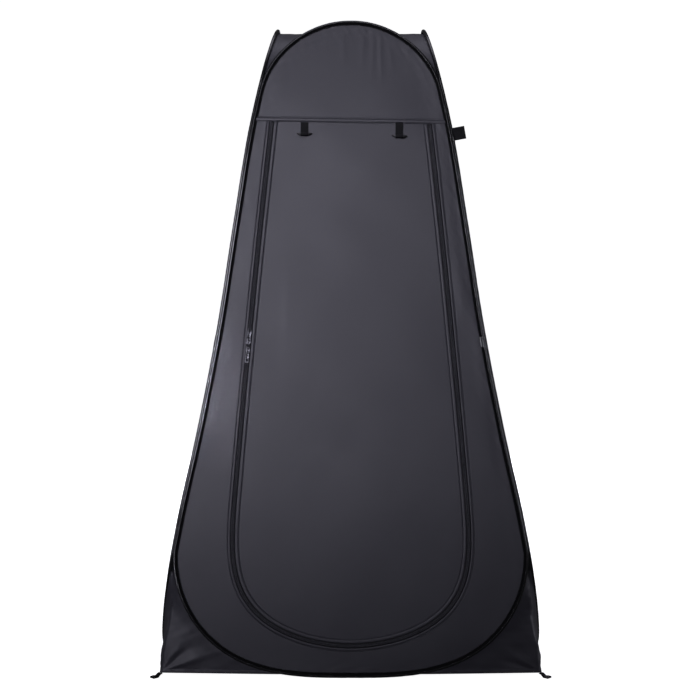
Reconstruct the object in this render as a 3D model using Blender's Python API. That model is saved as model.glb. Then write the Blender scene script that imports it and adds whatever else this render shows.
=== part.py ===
"""Pop-up shower tent: four sprung hoops in cloth sleeves, four leaning walls, a roof and a zipped door flap.

Metres, +Z up. The door is in the front wall, which faces -Y. The origin is on the ground, under the middle.
"""

import math

import bmesh
import bpy
import numpy as np
from mathutils import Matrix, Vector

# Driving sizes of the shell
HEIGHT = 1.900
SLEEVE_RADIUS = 0.006
SLEEVE_SIDES = 8
HOOP_SPREAD = 0.0088  # how far a hoop stays inside its neighbour's wall, so that two sleeves lie side by side
CLOTH = 0.002
SEAM_GAP = 0.0005  # between a sleeve and the cloth sewn to it
FIT = 0.0003  # between other pieces that touch

# Half the depth of the tent at each height: the lean of a wall
WALL_LEAN = [(0.00, 0.5650), (0.25, 0.5280), (0.45, 0.4930), (0.70, 0.4400), (1.00, 0.3845),
             (1.30, 0.3395), (1.60, 0.2910), (1.75, 0.2580), (1.90, 0.2230)]

# Each hoop follows the corners between these heights and rounds in above and below them
ARCH_START = 1.682
ARCH_RISE_POWER = 2.29
ARCH_WIDTH_POWER = 2.02
FOOT_START = 0.357
FOOT_DROP_POWER = 1.50
FOOT_WIDTH_POWER = 3.01

# Door and zip
SEAM_HEIGHT = 1.592
SILL_SPLIT = 0.430
JAMB_LEVELS = ("low", "middle", "high")
JAMB_JOINTS = (SILL_SPLIT, 0.780, 1.180, SEAM_HEIGHT)
ZIP_BOTTOM = 0.090
ZIP_TOP_HALF_WIDTH = 0.2327
ZIP_LOW_HALF_WIDTH = 0.3633
ZIP_BOW = 0.0087
ZIP_CURVE_START = 0.560
ZIP_DROP_POWER = 4.0
ZIP_WIDTH_POWER = 1.9
ZIP_TAPE = 0.0045
ZIP_THICK = 0.0016
ZIP_MIDDLE_GAP = 0.0050
SEAM_BAND = 0.009
SEAM_BAND_THICK = 0.0010
SEAM_BAND_LIFT = 0.002
SEAM_BAND_INSET = 0.001

# Roof and corners
ROOF_CROWN = 1.8855
ROOF_POWER = 2.6
ROOF_CORNER = 1.720
ROOF_RINGS = (1.0, 0.94, 0.84, 0.68, 0.48, 0.24)
GUSSET_TOP = 0.333
GUSSET_FREE = 0.12
GUSSET_SAG = 0.004  # how far the fold of a gusset is drawn in, midway down
GUSSET_LEAST = 0.002  # a row of gusset cloth shorter than this is left out
GROUND_CORNER = 0.550
HEM_HEIGHT = 0.0155

# Zip sliders and pull tabs, on the left leg of the zip
UPPER_PIVOT = 0.9545
LOWER_PIVOT = 0.9215
SLIDER_LENGTH = 0.0180
SLIDER_WIDTH = 0.0125
SLIDER_THICK = 0.0022
SLIDER_EDGE = 0.0006
BRIDGE_LENGTH = 0.0130
BRIDGE_WIDTH = 0.0030
BRIDGE_HIGH = 0.0036
BRIDGE_THICK = 0.0010
PIVOT_LIFT = 0.0013
PIVOT_BACK = 0.0044  # from the middle of the slider to the cross bar of its pull tab
PULL_LENGTH = 0.0340
PULL_NECK = 0.0090
PULL_WIDTH = 0.0125
PULL_ROUNDING = 0.0030
PULL_THICK = 0.0014
PULL_EYE = 0.0060
PULL_EYE_RIM = 0.0015
PULL_HOLE = 0.0030
PULL_HOLE_FROM_END = 0.0066

CUTTER_REACH = 0.010

# Toggle ties under the header seam
TIE_WIDTH = 0.023
TIE_THICK = 0.0014
TIE_WRAP = 300  # degrees of the toggle that its strap goes round
TIES = {"left": (-0.1362, 1.5560), "right": (0.1435, 1.5490)}
TIE_TOP = 1.5860
TOGGLE_LENGTH = 0.046
TOGGLE_RADIUS = 0.0036
TOGGLE_TIP = [(0, 0), (0.0006, 0.0016), (0.0030, 0.0029), (0.0100, TOGGLE_RADIUS)]  # in from an end, radius

# Webbing
TAB_HEIGHT = 1.5590
TAB_WIDTH = 0.038
TAB_LENGTH = 0.033
TAB_THICK = 0.0026
TAB_EDGE = 0.0009
LOOP_WIDTH = 0.015
LOOP_LENGTH = 0.034
LOOP_HIGH = 0.0080
LOOP_SEWN = 0.008  # the stretch under the hem
WEBBING = 0.0015

SIDES = ("front", "right", "back", "left")
ROUND_THE_ROOF = ("front", "left", "back", "right")  # each arch, from its right foot, ends where the next begins


def make_material(name, colour, roughness, metallic=0.0):
    """A plain Principled material."""
    material = bpy.data.materials.new(name)
    material.use_nodes = True
    shader = material.node_tree.nodes["Principled BSDF"]
    shader.inputs["Base Color"].default_value = (*colour, 1.0)
    shader.inputs["Roughness"].default_value = roughness
    shader.inputs["Metallic"].default_value = metallic
    return material


def new_object(name, mesh, material, smooth=False):
    """An object in the scene for this mesh."""
    mesh.materials.append(material)
    if smooth:
        mesh.shade_smooth()
        mesh.set_sharp_from_angle(angle=math.radians(50))
    obj = bpy.data.objects.new(name, mesh)
    bpy.context.scene.collection.objects.link(obj)
    return obj


def mesh_from(name, points, faces):
    """A mesh of these points and faces, with its normals made consistent."""
    mesh = bpy.data.meshes.new(name)
    shape = bmesh.new()
    corners = [shape.verts.new(p) for p in points]
    for face in faces:
        shape.faces.new([corners[i] for i in face])
    bmesh.ops.recalc_face_normals(shape, faces=shape.faces)
    shape.to_mesh(mesh)
    shape.free()
    return mesh


def move_origin(obj, origin):
    """Puts the object's origin here and leaves its shape where it is."""
    obj.data.transform(Matrix.Translation(-Vector(origin)))
    obj.location = origin


def half_depth(z):
    """Half the depth of the tent at this height, on a smooth curve through WALL_LEAN."""
    heights, depths = zip(*WALL_LEAN)
    slopes = np.gradient(depths, heights)
    i = min(max(int(np.searchsorted(heights, z)) - 1, 0), len(heights) - 2)
    step = heights[i + 1] - heights[i]
    t = (z - heights[i]) / step
    return ((1 + 2 * t) * (1 - t) ** 2 * depths[i] + t * (1 - t) ** 2 * step * slopes[i]
            + t * t * (3 - 2 * t) * depths[i + 1] + t * t * (t - 1) * step * slopes[i + 1])


def wall_slope(z):
    """How fast half_depth changes with height."""
    return (half_depth(z + 0.002) - half_depth(z - 0.002)) / 0.004


def on_wall(side, x, z, out=0.0):
    """The point x across and z up on a wall's cloth, out metres off its middle, in the tent's own frame."""
    normal = Vector((0, -1, -wall_slope(z))).normalized()
    point = Vector((x, -half_depth(z), z)) + out * normal
    return Matrix.Rotation(math.radians(90) * SIDES.index(side), 3, "Z") @ point


def rounded(part, rise_power, width_power):
    """How much of its width an outline keeps at this part, 0 to 1, of its rounded end."""
    return (1 - min(part, 1.0) ** rise_power) ** (1 / width_power)


def hoop_half_width(z):
    """Half the width of a hoop's centre line at this height."""
    bottom, top = SLEEVE_RADIUS, HEIGHT - SLEEVE_RADIUS
    width = half_depth(z) - HOOP_SPREAD
    if z > ARCH_START:
        width *= rounded((z - ARCH_START) / (top - ARCH_START), ARCH_RISE_POWER, ARCH_WIDTH_POWER)
    if z < FOOT_START:
        width *= rounded((FOOT_START - z) / (FOOT_START - bottom), FOOT_DROP_POWER, FOOT_WIDTH_POWER)
    return width


def zip_half_width(z):
    """Half the distance between the two legs of the zip at this height."""
    up = (z - ZIP_BOTTOM) / (SEAM_HEIGHT - ZIP_BOTTOM)
    width = ZIP_LOW_HALF_WIDTH + (ZIP_TOP_HALF_WIDTH - ZIP_LOW_HALF_WIDTH) * up + 4 * ZIP_BOW * up * (1 - up)
    if z < ZIP_CURVE_START:
        part = (ZIP_CURVE_START - z) / (ZIP_CURVE_START - ZIP_BOTTOM)
        width *= rounded(part, ZIP_DROP_POWER, ZIP_WIDTH_POWER)
    return width


def spread(width_at, bottom, top, length_step, turn_step):
    """Points (x, z) from bottom to top on an outline's right half, closer together where it bends."""
    middle = (bottom + top) / 2
    ease = [math.sin(a) for a in np.linspace(-math.pi / 2, math.pi / 2, 3001)]
    dense = [(width_at(z), z) for z in (middle + (top - bottom) / 2 * e for e in ease)]
    runs = np.diff(np.array(dense), axis=0)
    lengths = np.hypot(runs[:, 0], runs[:, 1])
    bearings = np.unwrap(np.arctan2(runs[:, 1], runs[:, 0]))
    turns = np.abs(np.diff(bearings, prepend=bearings[0]))
    measure = np.concatenate([[0], np.cumsum(lengths / length_step + turns / math.radians(turn_step))])
    count = round(measure[-1])
    wanted = (np.arange(count) + 0.5) / count * measure[-1]
    dense = np.array(dense)
    return [(float(np.interp(w, measure, dense[:, 0])), float(np.interp(w, measure, dense[:, 1])))
            for w in wanted]


def shifted(points, distance):
    """An outline's right half moved outwards, away from its middle, by this distance in the wall."""
    ends = [(-points[0][0], points[0][1])] + points + [(-points[-1][0], points[-1][1])]
    moved = []
    for before, here, after in zip(ends, ends[1:], ends[2:]):
        along = Vector((after[0] - before[0], after[1] - before[1])).normalized()
        moved.append((here[0] + along.y * distance, here[1] - along.x * distance))
    return moved


def width_on(points, z):
    """The x of an outline at this height, on its straight stretches between points."""
    xs, zs = zip(*points)
    return float(np.interp(z, zs, xs))


def cut(points, low, high):
    """The stretch of an outline between two heights, with a point at each."""
    inside = [p for p in points if low + 1e-4 < p[1] < high - 1e-4]
    ends = [[(width_on(points, z), z)] if points[0][1] <= z <= points[-1][1] else [] for z in (low, high)]
    return ends[0] + inside + ends[1]


def sheet(name, rows, material, thick=CLOTH):
    """Cloth over rows of points, all of one length, thickened to both sides."""
    count = len(rows[0])
    points = [p for row in rows for p in row]
    faces = [(r * count + c, r * count + c + 1, (r + 1) * count + c + 1, (r + 1) * count + c)
             for r in range(len(rows) - 1) for c in range(count - 1)]
    obj = new_object(name, mesh_from(name, points, faces), material)
    thicken(obj, thick)
    return obj


def thicken(obj, thick):
    """A Solidify modifier that grows the cloth to both sides of its middle."""
    modifier = obj.modifiers.new("thickness", "SOLIDIFY")
    modifier.thickness = thick
    modifier.offset = 0.0


def matched(first, second):
    """Both outlines with a point at every share of length where either has one."""
    def shares(points):
        steps = [math.dist(a, b) for a, b in zip(points, points[1:])]
        return np.concatenate([[0], np.cumsum(steps)]) / sum(steps)

    both = (shares(first), shares(second))
    wanted = np.unique(np.round(np.concatenate(both), 4))
    keep = np.concatenate([[True], np.diff(wanted) > 0.0006])
    keep[-1] = True
    wanted = wanted[keep]
    return [[tuple(float(np.interp(w, at, np.array(points)[:, k])) for k in range(2)) for w in wanted]
            for at, points in zip(both, (first, second))]


def zip_leg(zip_line, distance):
    """Half of a line that follows the zip at this distance, from the sill to the header seam."""
    line = shifted(zip_line, distance)
    top = SEAM_HEIGHT - FIT
    below = sum(z < SEAM_HEIGHT - 0.01 for _, z in zip_line)
    return line[:below] + [(width_on(line, top), top)]


def mirrored(points):
    """The whole outline, from the top right down round the bottom to the top left."""
    return points[::-1] + [(-x, z) for x, z in points]


def hoop_frame(side, points, i):
    """A hoop point in space with its direction, the way into its wall's middle, and the way into the tent."""
    ring = points + [(-x, z) for x, z in points[::-1]]
    place = [on_wall(side, *ring[(i + k) % len(ring)]) for k in (-1, 0, 1)]
    along = (place[2] - place[0]).normalized()
    tent_ward = -(on_wall(side, *ring[i], out=1.0) - place[1]).normalized()
    wall_ward = tent_ward.cross(along).normalized()
    if wall_ward.dot(on_wall(side, 0, HEIGHT / 2) - place[1]) < 0:
        wall_ward.negate()
    return place[1], along, wall_ward, tent_ward


def make_hoop(side, hoop, material):
    """A closed sleeve tube round one wall."""
    count = 2 * len(hoop)
    points = []
    for i in range(count):
        centre, _, wall_ward, tent_ward = hoop_frame(side, hoop, i)
        for k in range(SLEEVE_SIDES):
            angle = 2 * math.pi * k / SLEEVE_SIDES
            points.append(centre + SLEEVE_RADIUS * (math.cos(angle) * wall_ward + math.sin(angle) * tent_ward))
    faces = []
    for i in range(count):
        here, there = i * SLEEVE_SIDES, (i + 1) % count * SLEEVE_SIDES
        faces += [(here + k, here + (k + 1) % SLEEVE_SIDES, there + (k + 1) % SLEEVE_SIDES, there + k)
                  for k in range(SLEEVE_SIDES)]
    return new_object(f"{side}_hoop_sleeve", mesh_from(side, points, faces), material, smooth=True)


def make_wall(side, edge, material):
    """A plain wall cloth inside its hoop."""
    rows = [[on_wall(side, -x, z), on_wall(side, x, z)] for x, z in edge]
    return sheet(f"{side}_wall", rows, material)


def make_front(edge, zip_line, materials):
    """The front wall: header, jambs, sill, seam band and both halves of the zip, and the door flap."""
    cloth, tape = materials["cloth"], materials["zip_tape"]
    band_bottom = SEAM_HEIGHT + SEAM_BAND_LIFT
    header = cut(edge, SEAM_HEIGHT + FIT, edge[-1][1])
    sheet("front_header", [[on_wall("front", -x, z), on_wall("front", x, z)] for x, z in header], cloth)

    band_out = (CLOTH + SEAM_BAND_THICK) / 2 + FIT
    band = []
    for z in (band_bottom, band_bottom + SEAM_BAND):
        reach = width_on(edge, z) - SEAM_BAND_INSET
        band.append([on_wall("front", -reach, z, band_out), on_wall("front", reach, z, band_out)])
    sheet("header_seam_band", band, materials["seam"], SEAM_BAND_THICK)

    half_gap = ZIP_MIDDLE_GAP / 2
    jamb_edge = zip_leg(zip_line, half_gap + ZIP_TAPE + FIT)
    for level, low, high in zip(JAMB_LEVELS, JAMB_JOINTS, JAMB_JOINTS[1:]):
        spans = cut(edge, low, high - FIT) + cut(jamb_edge, low, high - FIT)
        heights = sorted({round(z, 6) for _, z in spans})
        for name, sign in (("left", -1), ("right", 1)):
            rows = [[on_wall("front", sign * width_on(line, z), z) for line in (jamb_edge, edge)]
                    for z in heights]
            sheet(f"front_{name}_jamb_{level}", rows, cloth)

    outer = mirrored(cut(edge, edge[0][1], SILL_SPLIT - FIT))
    inner = mirrored(cut(jamb_edge, jamb_edge[0][1], SILL_SPLIT - FIT))
    rows = [[on_wall("front", *a), on_wall("front", *b)] for a, b in zip(*matched(outer, inner))]
    sheet("front_sill", rows, cloth)

    for name, near, far in (("zip_outer_half", half_gap, half_gap + ZIP_TAPE),
                            ("zip_door_half", -half_gap, -half_gap - ZIP_TAPE)):
        lines = [mirrored(zip_leg(zip_line, distance)) for distance in (near, far)]
        rows = [[on_wall("front", *a), on_wall("front", *b)] for a, b in zip(*lines)]
        sheet(name, rows, tape, ZIP_THICK)

    door_edge = zip_leg(zip_line, -half_gap - ZIP_TAPE - FIT)
    door = sheet("door_flap", [[on_wall("front", -x, z), on_wall("front", x, z)] for x, z in door_edge], cloth)
    move_origin(door, door_hinge())


def door_hinge():
    """The middle of the seam that the door hangs from, on the cloth's outer face."""
    return on_wall("front", 0, SEAM_HEIGHT - FIT, CLOTH / 2)


def make_roof(hoop, material):
    """The roof cloth: from the four arches it rises evenly to a nearly level crown."""
    arch = [i for i, (_, z) in enumerate(hoop) if z > ROOF_CORNER]
    around = [i for i in arch] + [2 * len(hoop) - 1 - i for i in arch[::-1]]
    rim = []
    for side in ROUND_THE_ROOF:
        for i in around:
            centre, along, wall_ward, tent_ward = hoop_frame(side, hoop, i)
            turn = math.radians(45) * (1 - 2 * abs(along.z))
            way = math.cos(turn) * tent_ward + math.sin(turn) * wall_ward
            rim.append(centre + (SLEEVE_RADIUS + SEAM_GAP) * way)
    points = []
    for share in ROOF_RINGS:
        points += [Vector((p.x * share, p.y * share, ROOF_CROWN - (ROOF_CROWN - p.z) * share ** ROOF_POWER))
                   for p in rim]
    points.append(Vector((0, 0, ROOF_CROWN)))
    count = len(rim)
    last = (len(ROOF_RINGS) - 1) * count
    faces = []
    for start in range(0, last, count):
        faces += [(start + c, start + (c + 1) % count, start + count + (c + 1) % count, start + count + c)
                  for c in range(count)]
    faces += [(last + c, last + (c + 1) % count, len(points) - 1) for c in range(count)]
    obj = new_object("roof", mesh_from("roof", points, faces), material)
    thicken(obj, CLOTH)


def corner_line(z):
    """How far out, along X and along Y, the fold of a corner gusset lies at this height."""
    top = (half_depth(GUSSET_TOP) + hoop_half_width(GUSSET_TOP)) / 2
    up = z / GUSSET_TOP
    return GROUND_CORNER + (top - GROUND_CORNER) * up - 4 * GUSSET_SAG * up * (1 - up)


def gusset_rows(hoop):
    """Rows from the front hoop's right foot to the corner fold, from the hem up."""
    rows = []
    for i, (_, z) in enumerate(hoop):
        if z > GUSSET_TOP:
            break
        centre, _, wall_ward, tent_ward = hoop_frame("front", hoop, i)
        turn = math.radians(45) * (1 + min((GUSSET_TOP - z) / GUSSET_FREE, 1.0))
        way = math.cos(turn) * tent_ward - math.sin(turn) * wall_ward
        rows.append(centre + (SLEEVE_RADIUS + SEAM_GAP) * way)
    above = next(i for i, p in enumerate(rows) if p.z > HEM_HEIGHT + FIT)
    share = (HEM_HEIGHT - rows[above - 1].z) / (rows[above].z - rows[above - 1].z)
    rows = [rows[above - 1].lerp(rows[above], share)] + rows[above:]
    pairs = []
    for p in rows:
        fold = Vector((corner_line(p.z), -corner_line(p.z), p.z))
        pairs.append([p, fold - (fold - p).normalized() * (CLOTH / 2 + FIT)])
    return [pair for pair in pairs if (pair[1] - pair[0]).length > GUSSET_LEAST and pair[1].x > pair[0].x]


def make_gussets(hoop, material):
    """Two halves of cloth at each ground corner, one under each hoop's foot."""
    rows = gusset_rows(hoop)
    swap = Matrix(((0, -1, 0), (-1, 0, 0), (0, 0, 1)))
    corners = ("front_right", "back_right", "back_left", "front_left")
    halves = {"front_right": ("front", "side"), "back_right": ("side", "back"),
              "back_left": ("back", "side"), "front_left": ("side", "front")}
    for k, corner in enumerate(corners):
        turn = Matrix.Rotation(math.radians(90) * k, 3, "Z")
        for half, shape in zip(halves[corner], (Matrix.Identity(3), swap)):
            placed = [[turn @ shape @ p for p in row] for row in rows]
            sheet(f"{corner}_gusset_{half}", placed, material)


def plate(name, size, material, bevel=0.0):
    """A flat block of this size about its middle, with an optional rounding of its edges."""
    mesh = bpy.data.meshes.new(name)
    shape = bmesh.new()
    bmesh.ops.create_cube(shape, size=1.0, matrix=Matrix.Diagonal((*size, 1.0)))
    if bevel:
        bmesh.ops.bevel(shape, geom=shape.edges[:], offset=bevel, segments=2, affect="EDGES", profile=0.5)
    shape.to_mesh(mesh)
    shape.free()
    return new_object(name, mesh, material)


def extruded(name, outline, length, material):
    """A solid with this closed (y, z) outline, length metres along X about the middle."""
    count = len(outline)
    points = [(x, y, z) for x in (-length / 2, length / 2) for y, z in outline]
    faces = [tuple(range(count)), tuple(range(count, 2 * count))]
    faces += [(k, (k + 1) % count, count + (k + 1) % count, count + k) for k in range(count)]
    return new_object(name, mesh_from(name, points, faces), material)


def combine(obj, tool, operation):
    """A Boolean with a tool that isn't itself part of the model."""
    tool.hide_render = True
    tool.display_type = "WIRE"
    modifier = obj.modifiers.new(tool.name, "BOOLEAN")
    modifier.operation = operation
    modifier.object = tool


def wall_frame(x, z, out):
    """The placing of a small piece on the front wall: X across, Y into the wall, Z up the wall."""
    inward = -(on_wall("front", x, z, 1.0) - on_wall("front", x, z)).normalized()
    across = Vector((1, 0, 0))
    upward = across.cross(inward)
    turn = Matrix((across, inward, upward)).transposed().to_4x4()
    return Matrix.Translation(on_wall("front", x, z, out)) @ turn


def zip_turn(z):
    """The lean of the left leg of the zip at this height, as a turn about the wall's own normal."""
    lean = (zip_half_width(z + 0.01) - zip_half_width(z - 0.01)) / 0.02
    return Matrix.Rotation(math.atan(-lean), 4, "Y")


def make_slider(name, z, way, material):
    """A zip slider, head to head with the other, with the bridge that its pull tab turns under."""
    placing = wall_frame(-zip_half_width(z), z, CLOTH / 2 + FIT) @ zip_turn(z)
    back = -way * PIVOT_BACK
    body = plate(name, (SLIDER_WIDTH, SLIDER_THICK, SLIDER_LENGTH), material, bevel=SLIDER_EDGE)
    body.data.transform(Matrix.Translation((0, -SLIDER_THICK / 2, back)))
    half, high, thick = BRIDGE_LENGTH / 2, BRIDGE_HIGH, BRIDGE_THICK
    outer = [(SLIDER_THICK / 2, -half), (thick - high, -half), (-high, thick - half)]
    inner = [(y, along + thick) for y, along in outer[:1]]
    inner += [(2 * thick - high, thick - half), (thick - high, 2 * thick - half)]
    outline = outer + [(y, -along) for y, along in outer[::-1] + inner] + inner[::-1]
    bridge = extruded(f"{name}_bridge", outline, BRIDGE_WIDTH, material)
    bridge.data.transform(Matrix.Translation((0, -SLIDER_THICK, back)))
    for obj in (body, bridge):
        obj.matrix_world = placing
    combine(body, bridge, "UNION")


def pull_pivot(z):
    """The middle of a pull tab's cross bar, under the bridge of its slider."""
    return -zip_half_width(z), z, CLOTH / 2 + FIT + SLIDER_THICK + PIVOT_LIFT


def cross_hole(name, radius, along, material):
    """A round cutter through a pull tab, at this distance along it."""
    mesh = bpy.data.meshes.new(name)
    shape = bmesh.new()
    place = Matrix.Translation((0, 0, along)) @ Matrix.Rotation(math.radians(90), 4, "X")
    bmesh.ops.create_cone(shape, cap_ends=True, segments=16, radius1=radius, radius2=radius,
                          depth=CUTTER_REACH, matrix=place)
    shape.to_mesh(mesh)
    shape.free()
    return new_object(name, mesh, material)


def make_pull(name, z, way, material):
    """A pull tab that lies along the zip from its pivot, up (way 1) or down (way -1), wider at its free end."""
    placing = wall_frame(*pull_pivot(z)) @ zip_turn(z)
    start = -PULL_THICK / 2
    end = start + PULL_LENGTH
    side, corner = PULL_WIDTH / 2, PULL_ROUNDING * 0.3
    right = [(PULL_NECK / 2, start), (side, end - PULL_ROUNDING), (side - corner, end - corner),
             (side - PULL_ROUNDING, end)]
    outline = right + [(-x, along) for x, along in right[::-1]]
    tab = extruded(name, [(x, way * along) for x, along in outline], PULL_THICK, material)
    tab.data.transform(Matrix.Rotation(math.radians(90), 4, "Z"))
    eye = plate(f"{name}_eye", (PULL_NECK - 2 * PULL_EYE_RIM, CUTTER_REACH, PULL_EYE), material)
    eye.data.transform(Matrix.Translation((0, 0, way * (PULL_THICK + PULL_EYE) / 2)))
    hole = cross_hole(f"{name}_hole", PULL_HOLE, way * (end - PULL_HOLE_FROM_END), material)
    for obj in (tab, eye, hole):
        obj.matrix_world = placing
    combine(tab, eye, "DIFFERENCE")
    combine(tab, hole, "DIFFERENCE")


def make_tie(side, strap_material, toggle_material):
    """A strap that hangs from the seam and ends in a loop round its toggle bar."""
    x, height = TIES[side]
    bore = TOGGLE_RADIUS + FIT
    placing = wall_frame(x, height, CLOTH / 2 + FIT + TIE_THICK + bore)
    face = bore + TIE_THICK
    top = (TIE_TOP - height) * math.hypot(1, wall_slope(height))
    around = np.radians(np.linspace(0, -TIE_WRAP, 15))
    outline = [(face, top)]
    outline += [(face * math.cos(a), face * math.sin(a)) for a in around]
    outline += [(bore * math.cos(a), bore * math.sin(a)) for a in around[::-1]]
    outline += [(bore, top)]
    strap = extruded(f"{side}_tie_strap", outline, TIE_WIDTH, strap_material)
    strap.matrix_world = placing

    mesh = bpy.data.meshes.new(side)
    shape = bmesh.new()
    profile = [(a - TOGGLE_LENGTH / 2, r) for a, r in TOGGLE_TIP]
    profile += [(-a, r) for a, r in profile[::-1]]
    line = [shape.verts.new((a, 0, r)) for a, r in profile]
    edges = [shape.edges.new(pair) for pair in zip(line, line[1:])]
    bmesh.ops.spin(shape, geom=line + edges, axis=(1, 0, 0), cent=(0, 0, 0), steps=12, angle=2 * math.pi)
    bmesh.ops.remove_doubles(shape, verts=shape.verts, dist=1e-5)
    bmesh.ops.recalc_face_normals(shape, faces=shape.faces)
    shape.to_mesh(mesh)
    shape.free()
    toggle = new_object(f"{side}_toggle", mesh, toggle_material, smooth=True)
    toggle.matrix_world = placing


def make_tab(material):
    """The webbing tab that stands out from the right front corner."""
    slope = math.atan(-wall_slope(TAB_HEIGHT))
    side_hoop = half_depth(TAB_HEIGHT)
    inset = SLEEVE_RADIUS + FIT
    tab = plate("corner_webbing_tab", (TAB_LENGTH, TAB_THICK, TAB_WIDTH), material, bevel=TAB_EDGE)
    tab.data.transform(Matrix.Translation((TAB_LENGTH / 2 + inset, 0, 0)))
    tab.matrix_world = (Matrix.Translation((side_hoop, -(side_hoop - HOOP_SPREAD), TAB_HEIGHT))
                        @ Matrix.Rotation(-slope, 4, "Y"))


def loop_outline(inset):
    """The peg loop's side view, as (distance from its sewn end, z), this far inside its outer face."""
    round_middle = LOOP_LENGTH - LOOP_HIGH / 2
    radius = LOOP_HIGH / 2 - inset
    end = [(round_middle + radius * math.sin(a), LOOP_HIGH / 2 - radius * math.cos(a))
           for a in np.radians(np.linspace(0, 180, 9))]
    sewn = LOOP_SEWN if inset else 0.0
    return [(sewn, inset)] + end + [(LOOP_SEWN, HEM_HEIGHT - inset - CLOTH / 4)] + (
        [] if inset else [(0.0, HEM_HEIGHT - CLOTH / 4)])


def make_peg_loop(corner, quarter, material):
    """A loop of webbing on the ground, sewn under the hem and pointing straight out of a corner."""
    loop = extruded(f"{corner}_peg_loop", loop_outline(0.0), LOOP_WIDTH, material)
    hollow = extruded(f"{corner}_peg_loop_eye", loop_outline(WEBBING), LOOP_WIDTH * 2, material)
    start = corner_line(HEM_HEIGHT) * math.sqrt(2) + CLOTH - LOOP_SEWN
    placing = Matrix.Rotation(math.radians(90 * quarter - 135), 4, "Z") @ Matrix.Translation((0, start, 0))
    for obj in (loop, hollow):
        obj.matrix_world = placing
    combine(loop, hollow, "DIFFERENCE")


def main():
    """Empties the scene and makes every piece."""
    for obj in list(bpy.data.objects):
        bpy.data.objects.remove(obj)
    materials = {
        "cloth": make_material("coated_polyester", (0.070, 0.069, 0.080), 0.55),
        "sleeve": make_material("sleeve_binding", (0.020, 0.020, 0.023), 0.60),
        "seam": make_material("stitched_seam", (0.050, 0.050, 0.058), 0.60),
        "zip_tape": make_material("zip_tape", (0.035, 0.035, 0.040), 0.65),
        "zip_metal": make_material("zip_metal", (0.060, 0.060, 0.065), 0.35, 0.9),
        "webbing": make_material("webbing", (0.014, 0.014, 0.016), 0.75),
        "toggle": make_material("toggle_plastic", (0.015, 0.015, 0.017), 0.40),
    }
    hoop = spread(hoop_half_width, SLEEVE_RADIUS, HEIGHT - SLEEVE_RADIUS, length_step=0.13, turn_step=10)
    cloth_edge = shifted(hoop, -(SLEEVE_RADIUS + SEAM_GAP))
    zip_line = spread(zip_half_width, ZIP_BOTTOM, SEAM_HEIGHT + 0.02, length_step=0.13, turn_step=8)
    for side in SIDES:
        make_hoop(side, hoop, materials["sleeve"])
        if side != "front":
            make_wall(side, cloth_edge, materials["cloth"])
    make_front(cloth_edge, zip_line, materials)
    make_roof(hoop, materials["cloth"])
    make_gussets(hoop, materials["cloth"])
    for name, z, way in (("upper", UPPER_PIVOT, 1), ("lower", LOWER_PIVOT, -1)):
        make_slider(f"{name}_zip_slider", z, way, materials["zip_metal"])
        make_pull(f"{name}_zip_pull", z, way, materials["zip_metal"])
    for side in TIES:
        make_tie(side, materials["webbing"], materials["toggle"])
    make_tab(materials["webbing"])
    for quarter, corner in enumerate(("front_right", "back_right", "back_left", "front_left")):
        make_peg_loop(corner, quarter, materials["webbing"])


main()
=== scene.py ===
"""Looks of a pop-up shower tent: cloth, sleeves, zip, straps and a pale studio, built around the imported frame."""
import logging
import math
from collections.abc import Callable, Iterator
from contextlib import contextmanager
from dataclasses import dataclass
from enum import Enum

import bmesh
import bpy
import numpy as np
from mathutils import Matrix, Vector


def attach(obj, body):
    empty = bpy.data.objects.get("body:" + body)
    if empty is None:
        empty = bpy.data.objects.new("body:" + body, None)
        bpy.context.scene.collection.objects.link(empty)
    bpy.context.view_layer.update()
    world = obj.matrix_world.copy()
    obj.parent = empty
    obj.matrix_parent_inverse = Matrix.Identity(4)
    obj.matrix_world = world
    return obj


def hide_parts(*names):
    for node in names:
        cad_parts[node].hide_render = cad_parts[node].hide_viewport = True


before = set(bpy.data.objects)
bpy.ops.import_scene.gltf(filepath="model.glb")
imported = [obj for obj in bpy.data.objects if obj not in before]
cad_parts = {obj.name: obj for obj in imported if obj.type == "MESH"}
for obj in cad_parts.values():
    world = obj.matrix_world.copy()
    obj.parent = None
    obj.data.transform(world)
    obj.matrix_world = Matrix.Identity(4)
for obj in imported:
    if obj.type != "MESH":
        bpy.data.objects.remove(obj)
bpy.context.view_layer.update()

LOG = logging.getLogger("shower_tent")
SIDES = ("front", "right", "back", "left")
CORNERS = ("front_right", "back_right", "back_left", "front_left")
MM = 0.001
# A distance from the sleeves at which the cloth has no more gathers
FAR_IN = 0.05


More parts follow.
